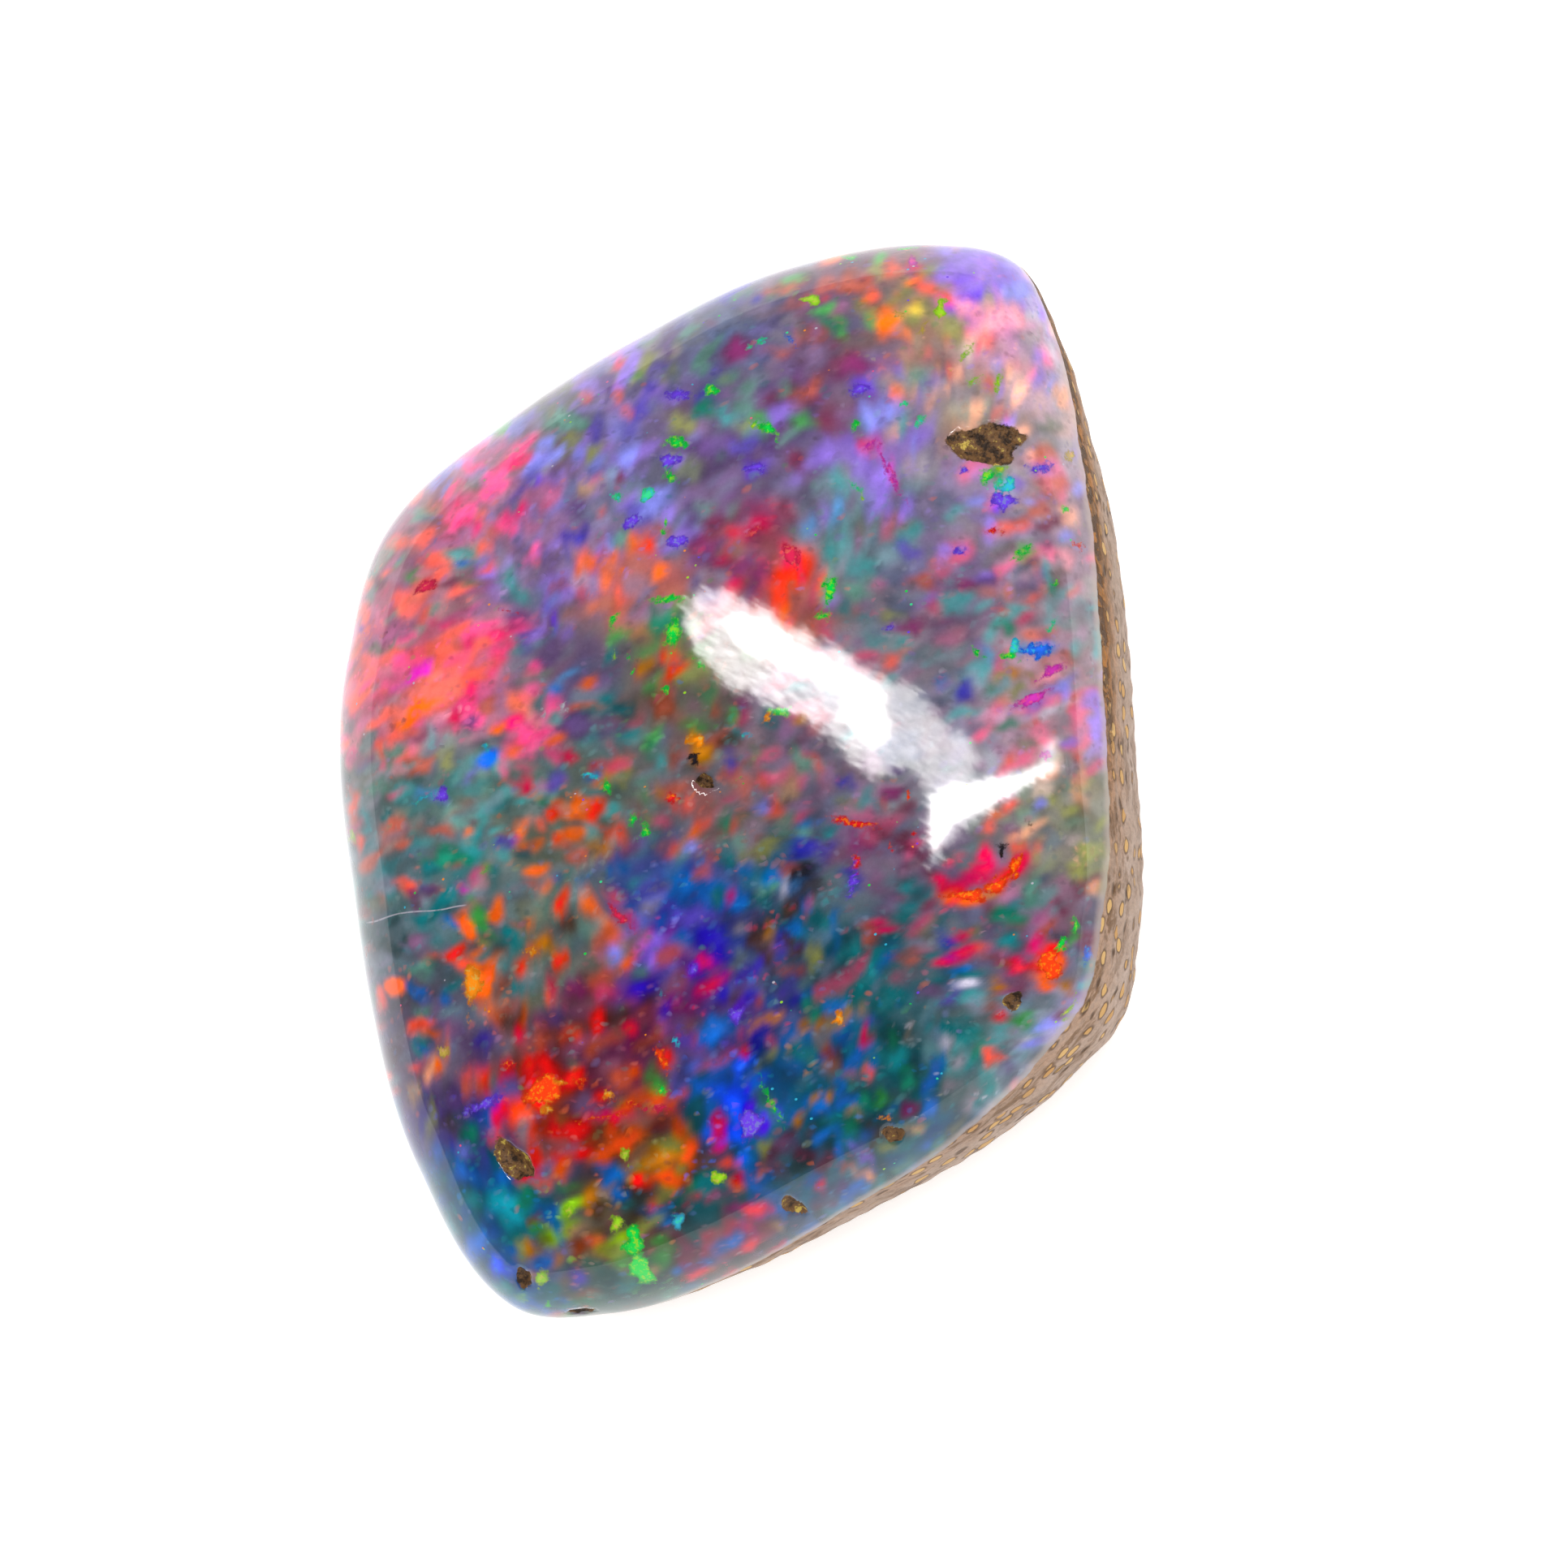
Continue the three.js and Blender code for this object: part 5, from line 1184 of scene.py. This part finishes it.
def make_stone():
    points, quads, triangles = stone_surface()
    normals = normals_of(points, quads)
    across, up = seen(points)
    depth, hollow = hollow_depths(points)
    grain = along_rim(points)
    points = points - normals * (depth + rock_wear(points))[:, None]

    facing = normals @ view_axes()[2]
    shown = np.clip((facing + 0.2) / 0.2, 0, 1)
    right, upward, _ = view_axes()
    sideways = 0.04 * ripple(across, up, 0.6, 3) + 0.10 * ripple(across, up, 1.5, 5)
    upwards = 0.04 * ripple(across, up, 0.6, 4) + 0.10 * ripple(across, up, 1.5, 6)
    wander = np.outer(sideways, right) + np.outer(upwards, upward)
    tone, milk, flake, play = tone_of_flakes(points, wander)
    tone *= (0.80 + 0.70 * milk)[:, None]

    middle, _, chance = flake_cells(points + wander, *PATCH_FLAKES, 50)
    middle_across, middle_up = seen(middle - wander)
    sideways = 0.04 * ripple(across, up, 0.35, 13) + 0.05 * ripple(across, up, 0.8, 15)
    upwards = 0.04 * ripple(across, up, 0.35, 14) + 0.05 * ripple(across, up, 0.8, 16)
    patch_across = 0.75 * across + 0.25 * middle_across + sideways
    patch_up = 0.75 * up + 0.25 * middle_up + upwards
    number, inside = marking_at(patch_across, patch_up, [patch[1:] for patch in PATCHES], 70)
    patch = np.array([linear(patch[0]) for patch in PATCHES])[number]
    inside -= (1 - shown) * 2
    core = 0.78 + 0.42 * smooth_step(inside, 0.0, 0.2)
    patch *= (core * (0.8 + 0.4 * chance[:, 0]))[:, None]
    patch = blend((chance[:, 1] < 0.22) * 0.5, patch, tone)
    tone = blend(0.9 * smooth_step(inside, -0.06, 0.07), tone, patch)
    tone = deepened(softened(tone, quads), up) * depth_of_colour(across, up)[:, None]

    flash_across = across + 0.03 * ripple(across, up, 0.22, 8) + 0.03 * ripple(across, up, 0.5, 10)
    flash_up = up + 0.03 * ripple(across, up, 0.22, 9) + 0.03 * ripple(across, up, 0.5, 11)
    names = [name for name, places in FLASHES.items() for _ in places]
    places = [place for places in FLASHES.values() for place in places]
    number, inside = marking_at(flash_across, flash_up, places, 90)
    inside -= (1 - shown) * 2
    flash = np.column_stack([np.array([linear(name) for name in names])[number], inside])
    crack_across, crack_up = np.array(CRACK).T
    beyond = np.maximum(crack_across[0] - across, across - crack_across[-1])
    cracked = shown * (1 - smooth_step(beyond, -0.1, 0.0))
    core = np.column_stack([np.array([linear(CORES[name]) for name in names])[number], cracked])

    points = fit_to_box(points) * MM
    mesh = bpy.data.meshes.new("opal_stone_polished")
    faces = quads.tolist() + triangles.tolist()
    mesh.from_pydata(points.tolist(), [], faces)
    mesh.shade_smooth()
    layers = {
        "tone": np.column_stack([tone, milk]),
        "flake": np.column_stack([flake, play]),
        "flash": flash,
        "core": core,
    }
    for name, values in layers.items():
        layer = mesh.attributes.new(name, "FLOAT_COLOR", "POINT")
        layer.data.foreach_set("color", values.astype(np.float32).reshape(-1))
    crack = up + 0.02 * ripple(across, up, 0.6, 12) - np.interp(across, crack_across, crack_up)
    for name, values in {"hollow": hollow, "crack": crack}.items():
        layer = mesh.attributes.new(name, "FLOAT", "POINT")
        layer.data.foreach_set("value", values.astype(np.float32))
    layer = mesh.attributes.new("grain", "FLOAT_VECTOR", "POINT")
    layer.data.foreach_set("vector", grain.astype(np.float32).reshape(-1))
    stone = bpy.data.objects.new("opal_stone_polished", mesh)
    bpy.context.scene.collection.objects.link(stone)
    return stone


# Shader maths

class Wire:
    """An output socket. Arithmetic on wires and numbers adds Math nodes to its tree."""

    def __init__(self, socket):
        self.socket = socket

    def maths(self, operation, *values):
        node = self.socket.id_data.nodes.new("ShaderNodeMath")
        node.operation = operation
        for slot, value in zip(node.inputs, values):
            connect(slot, value)
        return Wire(node.outputs[0])

    def __add__(self, other):
        return self.maths("ADD", self, other)

    def __radd__(self, other):
        return self.maths("ADD", other, self)

    def __sub__(self, other):
        return self.maths("SUBTRACT", self, other)

    def __rsub__(self, other):
        return self.maths("SUBTRACT", other, self)

    def __mul__(self, other):
        return self.maths("MULTIPLY", self, other)

    def __rmul__(self, other):
        return self.maths("MULTIPLY", other, self)

    def __truediv__(self, other):
        return self.maths("DIVIDE", self, other)


def connect(slot, value):
    """Links a wire to an input, or sets the input to a number or numbers."""
    if isinstance(value, Wire):
        slot.id_data.links.new(value.socket, slot)
    else:
        slot.default_value = value


class Finish:
    """A material or world, whose nodes are added one by one."""

    def __init__(self, owner):
        self.owner = owner
        owner.use_nodes = True
        self.tree = owner.node_tree
        self.tree.nodes.clear()

    def node(self, kind, settings, values):
        """Adds a node: its settings first, then the values or wires of its inputs by name."""
        node = self.tree.nodes.new(kind)
        for name, setting in settings.items():
            if name == "stops":
                set_stops(node.color_ramp, setting)
            else:
                setattr(node, name, setting)
        for name, value in values.items():
            connect(node.inputs[name], value)
        return node

    def out(self, kind, settings, values, output=0):
        return Wire(self.node(kind, settings, values).outputs[output])

    def mix(self, share, low, high, blend="MIX"):
        """A colour between two, or one blended onto the other."""
        settings = {"data_type": "RGBA", "blend_type": blend, "clamp_factor": True}
        node = self.node("ShaderNodeMix", settings, {})
        connect(node.inputs[0], share)
        connect(node.inputs[6], low)
        connect(node.inputs[7], high)
        return Wire(node.outputs[2])

    def step(self, value, low, high):
        """0 below low, 1 above high and smooth between."""
        settings = {"interpolation_type": "SMOOTHSTEP"}
        values = {"Value": value, "From Min": low, "From Max": high}
        return self.out("ShaderNodeMapRange", settings, values)

    def vector(self, operation, *values):
        node = self.node("ShaderNodeVectorMath", {"operation": operation}, {})
        for slot, value in zip(node.inputs, values):
            connect(slot, value)
        return Wire(node.outputs["Value" if operation in ("DOT_PRODUCT", "LENGTH") else "Vector"])

    def split(self, colour):
        node = self.node("ShaderNodeSeparateColor", {}, {"Color": colour})
        return [Wire(socket) for socket in node.outputs]

    def attribute(self, name):
        """The colour and fourth value of a colour attribute."""
        node = self.node("ShaderNodeAttribute", {"attribute_name": name}, {})
        return Wire(node.outputs["Color"]), Wire(node.outputs["Alpha"])

    def value(self, name, output="Fac"):
        """A number or a place that an attribute gives."""
        return Wire(self.node("ShaderNodeAttribute", {"attribute_name": name}, {}).outputs[output])

    def noise(self, place, scale, detail=2, roughness=0.5):
        values = {"Vector": place, "Scale": scale, "Detail": detail, "Roughness": roughness}
        return self.out("ShaderNodeTexNoise", {}, values)

    def wander(self, place, scale, amount):
        """The place moved by noise of that scale, by up to about the amount each way."""
        values = {"Vector": place, "Scale": scale, "Detail": 2}
        drift = self.out("ShaderNodeTexNoise", {}, values, "Color")
        centred = self.vector("SUBTRACT", drift, (0.5, 0.5, 0.5))
        return self.vector("ADD", place, self.vector("MULTIPLY", centred, (amount,) * 3))

    def cells(self, place, turn, long, wide, shift):
        """Random cells of a length and width whose length points along turn: distance from a
        cell's middle, and the cell's three random numbers."""
        settings = {"vector_type": "TEXTURE"}
        values = {
            "Vector": place,
            "Location": (shift, shift, shift),
            "Rotation": (0, 0, math.radians(turn)),
            "Scale": (long, wide, wide),
        }
        turned = self.out("ShaderNodeMapping", settings, values)
        node = self.node("ShaderNodeTexVoronoi", {}, {"Vector": turned, "Scale": 1})
        return Wire(node.outputs["Distance"]), self.split(Wire(node.outputs["Color"]))


def set_stops(ramp, stops):
    """A ramp of steps: each colour holds from its place to the next."""
    ramp.interpolation = "CONSTANT"
    while len(ramp.elements) < len(stops):
        ramp.elements.new(1)
    for element, (place, colour) in zip(ramp.elements, stops):
        element.position = place
        element.color = (*colour, 1)


def named_ramp(finish, chance, names):
    stops = [(index / len(names), linear(name)) for index, name in enumerate(names)]
    return finish.out("ShaderNodeValToRGB", {"stops": stops}, {"Fac": chance}, "Color")


def opal_colour(finish, place):
    """The opal's play of colour: the tone worked out on the mesh, finer flakes, milky haze, then
    flashes and sparks."""
    colour, milk = finish.attribute("tone")
    flake, play = finish.attribute("flake")
    loose = finish.wander(place, 3.2, 0.16)
    for index, (turn, long, wide, share) in enumerate(FINE_FLAKES):
        distance, (one, two, three) = finish.cells(loose, turn, long, wide, 7.3 * index)
        cover = finish.step(one, 0.98 - share, 1.02 - share) * (1 - finish.step(distance, 0.18, 0.60))
        choice = finish.mix(0.4, flake, colour)
        choice = finish.mix(1.0, choice, finish.mix(three, grey(0.55), grey(1.5)), "MULTIPLY")
        choice = finish.mix(finish.step(two, 0.90, 0.91) * 0.6, choice, named_ramp(finish, three, STRAYS))
        colour = finish.mix(cover * (0.15 + 0.40 * play), colour, choice)
    veil = finish.step(finish.noise(finish.wander(place, 0.8, 0.5), 1.5, 5, 0.6), 0.40, 0.75)
    colour = finish.mix(veil * (0.03 + 0.40 * milk), colour, paint("dove"))
    mottling = finish.mix(finish.noise(place, 4, 4, 0.7), grey(0.72), grey(1.28))
    colour = finish.mix(1.0, colour, mottling, "MULTIPLY")

    flash, inside = finish.attribute("flash")
    core, _ = finish.attribute("core")
    grain = finish.step(finish.noise(place, 11, 2, 0.6), 0.50, 0.64)
    deep = finish.step(inside, 0.0, 0.10)
    flash = finish.mix(1.0, flash, finish.mix(deep, grey(0.55), grey(1.1)), "MULTIPLY")
    flash = finish.mix(grain * (0.35 + 0.5 * deep), flash, core)
    rough = finish.noise(place, 9, 3, 0.7)
    edge = finish.step(inside + 0.20 * (rough - 0.5), -0.03, 0.04)
    colour = finish.mix(edge, colour, flash)

    distance, (one, two, three) = finish.cells(place, 20, 0.12, 0.09, 3.1)
    crowd = finish.step(finish.noise(place, 0.9, 2), 0.50, 0.72)
    present = finish.step(one, 1.0 - 0.07 * crowd, 1.005 - 0.07 * crowd)
    spark = present * (1 - finish.step(distance, 0.18, 0.34))
    return finish.mix(spark * 0.9, colour, named_ramp(finish, two, SPARKS))


def rock_colour(finish, place, y, above):
    """Colour and relief of the host rock: lilac grey to tan with golden flecks in dark rims, pores
    and brown streaks along the rim, amber brown by the opal at the upper end of the stone."""
    rim = finish.wander(finish.value("grain", "Vector"), 4.0, 0.10)
    streaks = finish.vector("MULTIPLY", rim, (0.6, 3.2, 3.2))
    ground = finish.mix(finish.noise(place, 1.4, 4, 0.6), paint("clay"), paint("sand"))
    upper = finish.step(y, -3.0, 2.0)
    near = finish.step(above + 0.4 * (finish.noise(place, 2.2, 3) - 0.5), -0.95, -0.15)
    burnt = finish.step(finish.noise(streaks, 1.6, 3, 0.6), 0.46, 0.58)
    amber = finish.mix(burnt * 0.75, paint("ochre"), paint("bark"))
    ground = finish.mix(near * (0.25 + 0.70 * upper), ground, amber)
    smear = finish.step(finish.noise(streaks, 1.0, 4, 0.7), 0.48, 0.62)
    ground = finish.mix(smear * (0.50 + 0.35 * near), ground, paint("bark"))
    fine = finish.noise(place, 9, 4, 0.7)
    ground = finish.mix(1.0, ground, finish.mix(fine, grey(0.5), grey(1.5)), "MULTIPLY")
    distance, (one, two, three) = finish.cells(rim, 0, 0.48, 0.26, 1.7)
    present = finish.step(one, 0.36, 0.44)
    fleck = (1 - finish.step(distance, 0.28, 0.36)) * present
    collar = (1 - finish.step(distance, 0.36, 0.50)) * present
    colour = finish.mix(collar * 0.80, ground, finish.mix(three, paint("bark"), paint("pore")))
    colour = finish.mix(fleck, colour, finish.mix(two, paint("grain"), paint("straw")))
    distance, (one, two, three) = finish.cells(rim, 0, 0.62, 0.20, 9.1)
    pore = (1 - finish.step(distance, 0.12, 0.40)) * finish.step(one, 0.66, 0.72)
    teeth = finish.step(finish.noise(rim, 4.5, 2), 0.46, 0.54) * finish.step(above, -0.36, -0.16) * upper
    dark = pore.maths("MAXIMUM", pore, teeth)
    return finish.mix(dark * 0.9, colour, paint("pore")), fine + fleck * 0.6 - dark


def opal_finish():
    material = bpy.data.materials.new("boulder_opal")
    finish = Finish(material)
    object_place = finish.out("ShaderNodeTexCoord", {}, {}, "Object")
    place = finish.vector("MULTIPLY", object_place, (1 / MM,) * 3)
    split = finish.node("ShaderNodeSeparateXYZ", {}, {"Vector": place})
    x, y, z = [Wire(socket) for socket in split.outputs]
    colour = opal_colour(finish, place)

    contact = CONTACT_HEIGHT + CONTACT_ALONG_X * x + CONTACT_ALONG_Y * y
    contact = contact + CONTACT_BULGE * (finish.step(y, -1.0, 3.0) - finish.step(y, 5.0, 8.0))
    contact = contact.maths("MAXIMUM", contact, CONTACT_LEAST)
    above = z - contact + 0.25 * (finish.noise(place, 1.3, 4, 0.6) - 0.5)
    pale = 1 - finish.step(above, 0.05, 0.28)
    colour = finish.mix(pale * 0.5, colour, paint("sand"))
    rock = 1 - finish.step(above, -0.02, 0.02)
    stony, relief = rock_colour(finish, place, y, above)
    colour = finish.mix(rock, colour, stony)

    offset = finish.value("crack")
    line = 1 - finish.step(offset.maths("ABSOLUTE", offset), CRACK_HALF * 0.5, CRACK_HALF * 1.5)
    broken = 0.4 + 0.6 * finish.step(finish.noise(place, 5, 2), 0.30, 0.50)
    cracked = finish.attribute("core")[1]
    colour = finish.mix(line * cracked * broken * 0.65, colour, paint("pearl"))
    hollow = finish.value("hollow")
    pit = finish.step(hollow + 0.50 * (finish.noise(place, 5, 3, 0.7) - 0.5), 0.52, 0.62)
    grit = finish.noise(place, 3.4, 4, 0.7)
    inset = finish.mix(finish.step(grit, 0.38, 0.52), paint("soil"), paint("bark"))
    inset = finish.mix(finish.step(grit, 0.55, 0.64), inset, paint("gold"))
    colour = finish.mix(pit, colour, inset)

    bump = finish.out("ShaderNodeBump", {}, {"Height": relief, "Distance": 0.03 * MM, "Strength": 0.9})
    polished = finish.node("ShaderNodeBsdfPrincipled", {}, {
        "Base Color": colour,
        "Roughness": 0.035,
        "IOR": 1.45,
    })
    dull = finish.node("ShaderNodeBsdfPrincipled", {}, {
        "Base Color": colour,
        "Roughness": 0.55,
        "IOR": 1.45,
        "Specular IOR Level": 0.25,
        "Normal": bump,
    })
    both = finish.node("ShaderNodeMixShader", {}, {"Fac": rock.maths("MAXIMUM", rock, pit)})
    connect(both.inputs[1], Wire(polished.outputs["BSDF"]))
    connect(both.inputs[2], Wire(dull.outputs["BSDF"]))
    output = finish.node("ShaderNodeOutputMaterial", {}, {})
    connect(output.inputs["Surface"], Wire(both.outputs["Shader"]))
    return material


# The studio

def make_floor():
    """A wide white table top at the height of the stone's back."""
    half = 3
    mesh = bpy.data.meshes.new("table")
    corners = [(-half, -half, 0), (half, -half, 0), (half, half, 0), (-half, half, 0)]
    mesh.from_pydata(corners, [], [(0, 1, 2, 3)])
    table = bpy.data.objects.new("table", mesh)
    bpy.context.scene.collection.objects.link(table)
    material = bpy.data.materials.new("white_table")
    finish = Finish(material)
    place = finish.out("ShaderNodeTexCoord", {}, {}, "Object")
    colour = finish.mix(finish.noise(place, 300, 2), (0.94, 0.94, 0.94, 1), (0.955, 0.955, 0.955, 1))
    shader = finish.node("ShaderNodeBsdfPrincipled", {}, {
        "Base Color": colour,
        "Roughness": 0.9,
        "Specular IOR Level": 0.1,
        "Emission Color": colour,
        "Emission Strength": FLOOR_GLOW,
    })
    output = finish.node("ShaderNodeOutputMaterial", {}, {})
    connect(output.inputs["Surface"], Wire(shader.outputs["BSDF"]))
    mesh.materials.append(material)


def make_world():
    """A dim ceiling that brightens to white walls at the horizon."""
    world = bpy.data.worlds.new("studio")
    bpy.context.scene.world = world
    finish = Finish(world)
    direction = finish.out("ShaderNodeTexCoord", {}, {}, "Generated")
    height = Wire(finish.node("ShaderNodeSeparateXYZ", {}, {"Vector": direction}).outputs["Z"])
    low = 1 - finish.step(height, 0.0, 0.55)
    strength = 0.10 + 0.62 * low * low
    shader = finish.node("ShaderNodeBackground", {}, {"Color": (1, 1, 1, 1), "Strength": strength})
    output = finish.node("ShaderNodeOutputWorld", {}, {})
    connect(output.inputs["Surface"], Wire(shader.outputs["Background"]))


def face_height(x, y):
    """Height of the smooth face above a point of the plan."""
    offset = x - MIDDLE[0]
    rise = y - MIDDLE[1]
    angle = np.arctan2(rise, offset)
    share = np.hypot(offset, rise) / outline_distance(angle)
    fall = np.sqrt(np.clip(1 - share ** shoulder_power(angle), 0, 1))
    return GIRDLE_HEIGHT + dome_height(x, y) * fall


def mirrored(across, up):
    """Where the view's rays go after the face mirrors them: each ray is met with the face by
    stepping to the face's height again and again, then turned about the face's direction."""
    right, upward = view_axes()[:2]
    eye = camera_place()
    way = AIM + across[:, None] * right + up[:, None] * upward - eye
    way /= np.linalg.norm(way, axis=1, keepdims=True)
    height = np.full(len(across), float(HEIGHT))
    for _ in range(14):
        point = eye + way * ((height - eye[2]) / way[:, 2])[:, None]
        height = face_height(point[:, 0], point[:, 1])
    x, y = point[:, 0], point[:, 1]
    reach = 0.05
    fall_across = (face_height(x - reach, y) - face_height(x + reach, y)) / (2 * reach)
    fall_along = (face_height(x, y - reach) - face_height(x, y + reach)) / (2 * reach)
    square = np.stack([fall_across, fall_along, np.ones_like(x)], -1)
    square /= np.linalg.norm(square, axis=1, keepdims=True)
    turned = way - 2 * (way * square).sum(1, keepdims=True) * square
    return point + turned * WINDOW_AWAY


def inside_outline(across, up, outline):
    """Distance in from an outline, less than 0 outside it: the least distance to its sides, with
    its sign from how often a line to the right crosses them."""
    closed = outline + outline[:1]
    least = line_distance(across, up, closed)
    inside = np.zeros(across.shape, bool)
    for (ax, ay), (bx, by) in zip(closed, closed[1:]):
        crosses = (ay > up) != (by > up)
        if by != ay:
            crosses &= across < ax + (up - ay) * (bx - ax) / (by - ay)
        inside ^= crosses
    return np.where(inside, least, -least)


def make_window():
    """The bright window that shows only as its mirror image: a sheet that the face mirrors to the
    outlines above, with brushed edges."""
    outline = np.array(WINDOW)
    low = outline.min(0) - 0.3
    high = outline.max(0) + 0.3
    columns = np.arange(low[0], high[0], WINDOW_STEP)
    rows = np.arange(low[1], high[1], WINDOW_STEP)
    across, up = [grid.reshape(-1) for grid in np.meshgrid(columns, rows)]
    number = np.arange(len(across)).reshape(len(rows), len(columns))
    corners = [number[:-1, :-1], number[:-1, 1:], number[1:, 1:], number[1:, :-1]]
    quads = np.stack(corners, -1).reshape(-1, 4)
    mesh = bpy.data.meshes.new("window_light")
    mesh.from_pydata((mirrored(across, up) * MM).tolist(), [], quads.tolist())
    glow = inside_outline(across, up, WINDOW)
    bright = np.max([inside_outline(across, up, part) for part in WINDOW_BRIGHTEST], axis=0)
    layer = mesh.attributes.new("pane", "FLOAT_COLOR", "POINT")
    values = np.column_stack([across, up, np.zeros_like(up), glow]).astype(np.float32)
    layer.data.foreach_set("color", values.reshape(-1))
    layer = mesh.attributes.new("bright", "FLOAT", "POINT")
    layer.data.foreach_set("value", bright.astype(np.float32))

    material = bpy.data.materials.new("window_glow")
    finish = Finish(material)
    pane, inside = finish.attribute("pane")
    bright = finish.value("bright")
    values = {"Vector": pane, "Rotation": (0, 0, math.radians(WINDOW_SLANT)), "Scale": (1.3, 0.16, 1)}
    brushed = finish.out("ShaderNodeMapping", {"vector_type": "TEXTURE"}, values)
    stroke = finish.noise(brushed, 3.0, 3, 0.6)
    edge = finish.step(inside + 1.10 * (stroke - 0.5), -0.06, 0.08)
    core = finish.step(bright + 0.45 * (stroke - 0.5), -0.10, 0.14)
    right = Wire(finish.node("ShaderNodeSeparateXYZ", {}, {"Vector": pane}).outputs["X"])
    fade = 1 - 0.35 * finish.step(right, 1.2, 2.6)
    streak = finish.step(finish.noise(brushed, 3.1, 4, 0.7), 0.35, 0.70)
    strength = edge * fade * (WINDOW_GLOW * (0.35 + 0.85 * streak)) + core * WINDOW_BRIGHT
    shader = finish.node("ShaderNodeEmission", {}, {"Color": (1, 0.985, 0.97, 1), "Strength": strength})
    output = finish.node("ShaderNodeOutputMaterial", {}, {})
    connect(output.inputs["Surface"], Wire(shader.outputs["Emission"]))
    mesh.materials.append(material)

    window = bpy.data.objects.new("window_light", mesh)
    window.visible_camera = False
    window.visible_diffuse = False
    window.visible_transmission = False
    window.visible_shadow = False
    bpy.context.scene.collection.objects.link(window)


def make_sun(name, azimuth, elevation, spread, strength):
    """A wide soft lamp, even over the whole table."""
    lamp = bpy.data.lights.new(name, "SUN")
    lamp.energy = strength
    lamp.angle = math.radians(spread)
    sun = bpy.data.objects.new(name, lamp)
    sun.rotation_euler = (0, math.radians(90 - elevation), math.radians(azimuth))
    sun.visible_glossy = False
    bpy.context.scene.collection.objects.link(sun)


# Everything together

make_camera()
bpy.context.scene.view_settings.view_transform = "Standard"
make_world()
make_floor()
make_window()
make_sun("key_lamp", 110, 60, 90, 2.75)
make_sun("fill_lamp", -40, 50, 110, 2.75)

stone = make_stone()
stone.data.materials.append(opal_finish())
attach(stone, "root")
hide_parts("opal_stone")
